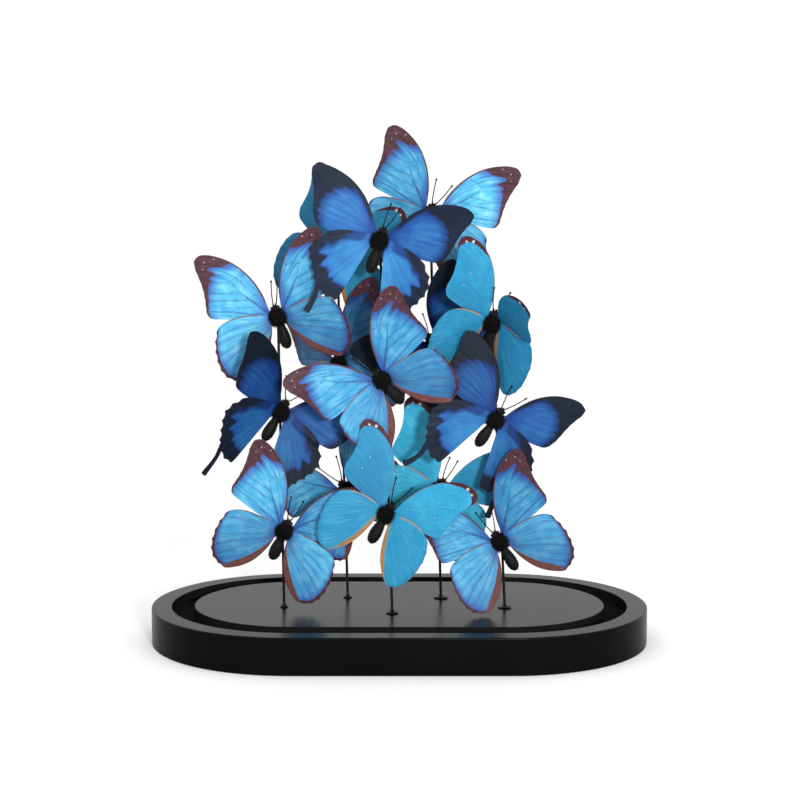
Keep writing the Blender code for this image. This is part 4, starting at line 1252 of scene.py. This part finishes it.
def make_body(name, row):
    size = row[14]
    rng = np.random.default_rng(sum(ord(c) * (i + 5) for i, c in enumerate(name)))
    grid, faces, slots = body_core(row, size)
    rows, cols = grid.shape[:2]
    across = np.roll(grid, -1, 1) - np.roll(grid, 1, 1)
    along = np.gradient(grid, axis=0)
    normal = np.cross(across, along)
    normal /= np.maximum(np.linalg.norm(normal, axis=2), 1e-9)[..., None]
    middle = grid.mean(1, keepdims=True)
    flip = ((grid - middle) * normal).sum(-1) < 0
    normal[flip] *= -1
    # hairs, thick on the thorax and head, short on the abdomen
    y = grid[:, 0, 1]
    ring = np.linalg.norm(np.roll(grid, -1, 1) - grid, axis=2).sum(1) * np.abs(np.gradient(y))
    density = ring * np.where(y > 5.2, 1.6, np.where(y > -5.4, 3.0, 0.9))
    count = 4600
    pick = rng.choice(rows, count, p=density / density.sum())
    col = rng.integers(0, cols, count)
    mix = rng.random(count)[:, None]
    root = grid[pick, col] * (1 - mix) + grid[pick, (col + 1) % cols] * mix
    way = normal[pick, col] * (1 - mix) + normal[pick, (col + 1) % cols] * mix
    at = root[:, 1]
    length = np.where(at > 5.2, 0.7, np.where(at > -5.4, 2.8, 0.8)) * rng.uniform(0.45, 1.2, count)
    under = root[:, 2] < -2.5
    length = np.where(under & (at > -5.4) & (at < 5.2), np.minimum(length, 0.7), length)
    lean = np.zeros((count, 3))
    lean[:, 1] = np.where(at > 5.2, 0.5, np.where(at > -5.4, -0.05, -1.3))
    way = way + lean + rng.normal(scale=0.32, size=(count, 3))
    droop = np.tile([0.0, -0.5, -0.15], (count, 1)) + rng.normal(scale=0.25, size=(count, 3))
    width = np.where(at > -5.4, 0.16, 0.10) * rng.uniform(0.8, 1.2, count)
    hp, h3 = hairs(root - way / np.linalg.norm(way, axis=1)[:, None] * 0.15, way, length, width, droop, rng)
    points = [grid.reshape(-1, 3)]
    total = rows * cols
    points.append(hp)
    faces = faces + (h3 + total).tolist()
    slots = np.r_[slots, np.tile(np.where(at > -5.6, 0, 1), 4)]
    total += len(hp)
    # eyes, and the two palps in front of the head
    for side in (-1, 1):
        p, f = ball((side * 2.3, 7.2, 0.3), (1.2, 1.45, 1.5))
        points.append(p)
        faces += [[k + total for k in face] for face in f]
        slots = np.r_[slots, np.full(len(f), 2)]
        total += len(p)
        p, f = ball((side * 0.8, 9.0, -0.5), (0.65, 1.3, 0.8), 10, 12)
        points.append(p)
        faces += [[k + total for k in face] for face in f]
        slots = np.r_[slots, np.full(len(f), 0)]
        total += len(p)
    points = np.vstack(points)
    ahead = HEAD_BACK[row[0]] * np.clip((points[:, 1] - 4.5) / 4.5, 0, 1)
    points[:, 1] -= ahead
    points *= size
    placed = moved(body_place(row) @ TO_BODY, points)
    made = build(name + "_body", placed, faces, [FUR, ABDOMEN, EYE], slots, True)
    return settle(made, name, SLOT[row[0]])


def make_antennae(name, row):
    size = row[14]
    points, faces, total = [], [], 0
    for side, angle in zip((-1, 1), ANTENNAE[name]):
        root = np.array([side * 0.9, 8.2 - HEAD_BACK[row[0]], 0.6]) * size
        out = np.array([math.sin(math.radians(angle)), math.cos(math.radians(angle)), 0.22])
        tip = root + out * (18.7 + HEAD_BACK[row[0]])
        middle = (root + tip) / 2 + np.array([side * 0.4, 0, 0.3])
        line = through([root, middle, tip])(np.linspace(0, 2, 26))
        share = np.linspace(0, 1, 26)
        radius = 0.42 - 0.08 * share + 0.38 * np.exp(-(((share - 0.95) / 0.05) ** 2))
        radius *= 1 + 0.06 * np.sin(share * 120)
        radius[-1] = 0.08
        cols = 9
        ahead = np.gradient(line, axis=0)
        ahead /= np.linalg.norm(ahead, axis=1)[:, None]
        a = np.cross(ahead, [0, 0, 1.0])
        a /= np.linalg.norm(a, axis=1)[:, None]
        b = np.cross(ahead, a)
        t = np.linspace(0, 2 * math.pi, cols, endpoint=False)
        ring = line[:, None] + radius[:, None, None] * (
            a[:, None] * np.cos(t)[None, :, None] + b[:, None] * np.sin(t)[None, :, None]
        )
        i = np.arange(26 * cols).reshape(26, cols)
        j = np.roll(i, -1, 1)
        quads = np.stack([i[:-1], i[1:], j[1:], j[:-1]], -1).reshape(-1, 4)
        part = quads.tolist() + [i[0].tolist(), i[-1][::-1].tolist()]
        points.append(ring.reshape(-1, 3))
        faces += [[k + total for k in face] for face in part]
        total += 26 * cols
    placed = moved(body_place(row) @ TO_BODY, np.vstack(points))
    made = build(name + "_antennae", placed, faces, [FEELER], None, True, 60)
    outward(made)
    return settle(made, name, SLOT[row[0]])


def outward(piece):
    import bmesh

    work = bmesh.new()
    work.from_mesh(piece.data)
    bmesh.ops.recalc_face_normals(work, faces=work.faces)
    work.to_mesh(piece.data)
    work.free()


def stadium_ring(inset, z, per_end=72):
    radius = BASE_DEPTH / 2 - inset
    half = BASE_LENGTH / 2 - BASE_DEPTH / 2
    out = []
    for side, start in ((1, -90), (-1, 90)):
        for i in range(per_end + 1):
            angle = math.radians(start + 180 * i / per_end)
            out.append((side * half + radius * math.cos(angle), radius * math.sin(angle), z))
    return out


def corner(inset, z, radius, start, turn, steps=4):
    """Points of a small rounded corner of the base's profile."""
    out = []
    for i in range(steps + 1):
        angle = math.radians(start + turn * i / steps)
        out.append((inset + radius * math.cos(angle), z + radius * math.sin(angle)))
    return out


def make_base():
    H, W, G = BASE_HEIGHT, RIM_WIDTH, GROOVE_WIDTH
    floor = H - GROOVE_DEPTH
    profile = [(40.0, 0.0), (1.0, 0.0)]
    profile += corner(0.8, 0.8, 0.8, -90, -90)
    profile += [(0.0, 1.2), (0.0, H - 1.2)]
    profile += corner(0.8, H - 0.8, 0.8, 180, -90)
    profile += [(1.2, H), (W - 0.7, H)]
    profile += corner(W - 0.35, H - 0.35, 0.35, 90, -90)
    profile += [(W, H - 0.7), (W, floor + 0.4)]
    profile += corner(W + 0.3, floor + 0.3, 0.3, 180, 90)
    profile += [(W + 0.6, floor), (W + G - 0.6, floor)]
    profile += corner(W + G - 0.3, floor + 0.3, 0.3, -90, 90)
    profile += [(W + G, floor + 0.4), (W + G, H - 0.7)]
    profile += corner(W + G + 0.35, H - 0.35, 0.35, 180, -90)
    profile += [(W + G + 0.7, H), (60.0, H)]
    rings = [stadium_ring(d, z) for d, z in profile]
    cols = len(rings[0])
    i = np.arange(len(rings) * cols).reshape(len(rings), cols)
    j = np.roll(i, -1, 1)
    quads = np.stack([i[:-1], j[:-1], j[1:], i[1:]], -1).reshape(-1, 4)
    faces = quads.tolist() + [i[0][::-1].tolist(), i[-1].tolist()]
    points = np.array(rings).reshape(-1, 3)
    matt = [W - 0.01 < profile[k][0] and profile[k + 1][0] < W + G + 0.01 and max(profile[k][1], profile[k + 1][1]) < H - 0.5 for k in range(len(rings) - 1)]
    wall = [max(profile[k][0], profile[k + 1][0]) < 0.85 and max(profile[k][1], profile[k + 1][1]) < H - 0.7 for k in range(len(rings) - 1)]
    # the outer wall takes slot 2, the lacquer copy with painted shade
    slots = np.r_[np.repeat(np.array(matt, int) + 2 * np.array(wall, int), cols), 0, 0]
    made = build("base_lacquered", points, faces, [LACQUER, LINING, SHADED_SIDE_LACQUER], slots, True, 40)
    outward(made)
    return settle(made, "base", "black_lacquer")


def along(start, end):
    turn = (end - start).to_track_quat("Z", "Y").to_matrix().to_4x4()
    return Matrix.Translation(start) @ turn


def turned(name, profile, matrix, material, closed, sides=36, sharp=35):
    t = np.linspace(0, 2 * math.pi, sides, endpoint=False)
    rows = len(profile)
    r, z = np.array(profile).T
    grid = np.stack([r[:, None] * np.cos(t), r[:, None] * np.sin(t), np.repeat(z[:, None], sides, 1)], -1)
    i = np.arange(rows * sides).reshape(rows, sides)
    j = np.roll(i, -1, 1)
    quads = np.stack([i[:-1], j[:-1], j[1:], i[1:]], -1).reshape(-1, 4).tolist()
    if closed:
        quads += np.stack([i[-1], j[-1], j[0], i[0]], -1).tolist()
    else:
        quads += [i[0][::-1].tolist(), i[-1].tolist()]
    made = build(name, moved(matrix, grid.reshape(-1, 3)), quads, [material], None, True, sharp)
    outward(made)
    return made


def make_rod(rod):
    foot, top, wide = RODS[rod]
    start = Vector((*foot, BASE_HEIGHT))
    end = Vector((top[0], top[1], BASE_HEIGHT + top[2]))
    length = (end - start).length
    R = ROD_RADIUS
    profile = [(R * 0.6, -SOCKET_DEPTH), (R, -SOCKET_DEPTH + 0.4)]
    profile += [(R, z) for z in np.linspace(0, length - 0.6, 24)]
    profile += [(R * 0.85, length - 0.2), (R * 0.45, length)]
    settle(turned("rod_%s_steel" % rod, profile, along(start, end), ROD, False, 20), "rod_" + rod, "black_rod")
    bore = R + 0.06
    low = 0.3 + 0.2 * wide / 3 - 0.25
    flare = [(bore, low + 2.0), (bore + 0.3, low + 2.0)]
    for k in range(1, 9):
        share = k / 8
        flare.append((bore + 0.3 + (wide - bore - 0.5) * share**1.9, low + 2.0 - 1.55 * share**0.75))
    flare += [(wide, low + 0.3), (wide, low + 0.1), (wide - 0.15, low), (bore, low)]
    settle(turned("foot_%s_flared" % rod, flare, along(start, end), FOOT, True, 40), "foot_" + rod, "black_foot")


make_base()
for rod in RODS:
    make_rod(rod)
for name, row in BUTTERFLIES.items():
    make_wings(name, row, "fore")
    make_wings(name, row, "hind")
    make_body(name, row)
    make_antennae(name, row)

# ---------------------------------------------------------------- the picture

scene = bpy.context.scene

FLOOR = Shade("pale_floor", Roughness=0.9, Specular_IOR_Level=0.0)
speck = FLOOR.noise(FLOOR.own_place(), 30.0, 3.0)
FLOOR.put(FLOOR.mix(FLOOR.rise(speck, -1.0, 1.0), (0.97, 0.97, 0.97), (0.98, 0.98, 0.98)), FLOOR.surface.inputs["Base Color"])
bpy.ops.mesh.primitive_plane_add(size=80.0, location=(0, 0, -0.0001))
floor = bpy.context.object
floor.name = "floor"
floor.data.materials.append(FLOOR.material)

world = bpy.data.worlds.new("studio")
world.use_nodes = True
world.node_tree.nodes["Background"].inputs[0].default_value = (1, 1, 1, 1)
world.node_tree.nodes["Background"].inputs[1].default_value = 1.04
scene.world = world


def soft_light(name, place, aim, width, height, power):
    data = bpy.data.lights.new(name, "AREA")
    data.shape = "RECTANGLE"
    data.size, data.size_y = width, height
    data.energy = power
    made = bpy.data.objects.new(name, data)
    made.location = place
    made.rotation_euler = (Vector(aim) - Vector(place)).to_track_quat("-Z", "Y").to_euler()
    scene.collection.objects.link(made)
    return made


soft_light("key", (0.50, -2.34, 0.53), (0, 0, 0.17), 0.22, 0.22, 43)

camera = bpy.data.cameras.new("camera")
camera.sensor_width = 36.0
camera.lens = 1749.54 / 800 * 36
camera.shift_x = (400 - 392.15) / 800
camera.clip_end = 200
eye = bpy.data.objects.new("camera", camera)
eye.location = (-0.00508, -1.21916, 0.2788 + 0.0255)
eye.rotation_euler = (math.pi / 2 - 0.1093, 0, 0)
scene.collection.objects.link(eye)
scene.camera = eye

scene.view_settings.view_transform = "Standard"
scene.view_settings.look = "None"
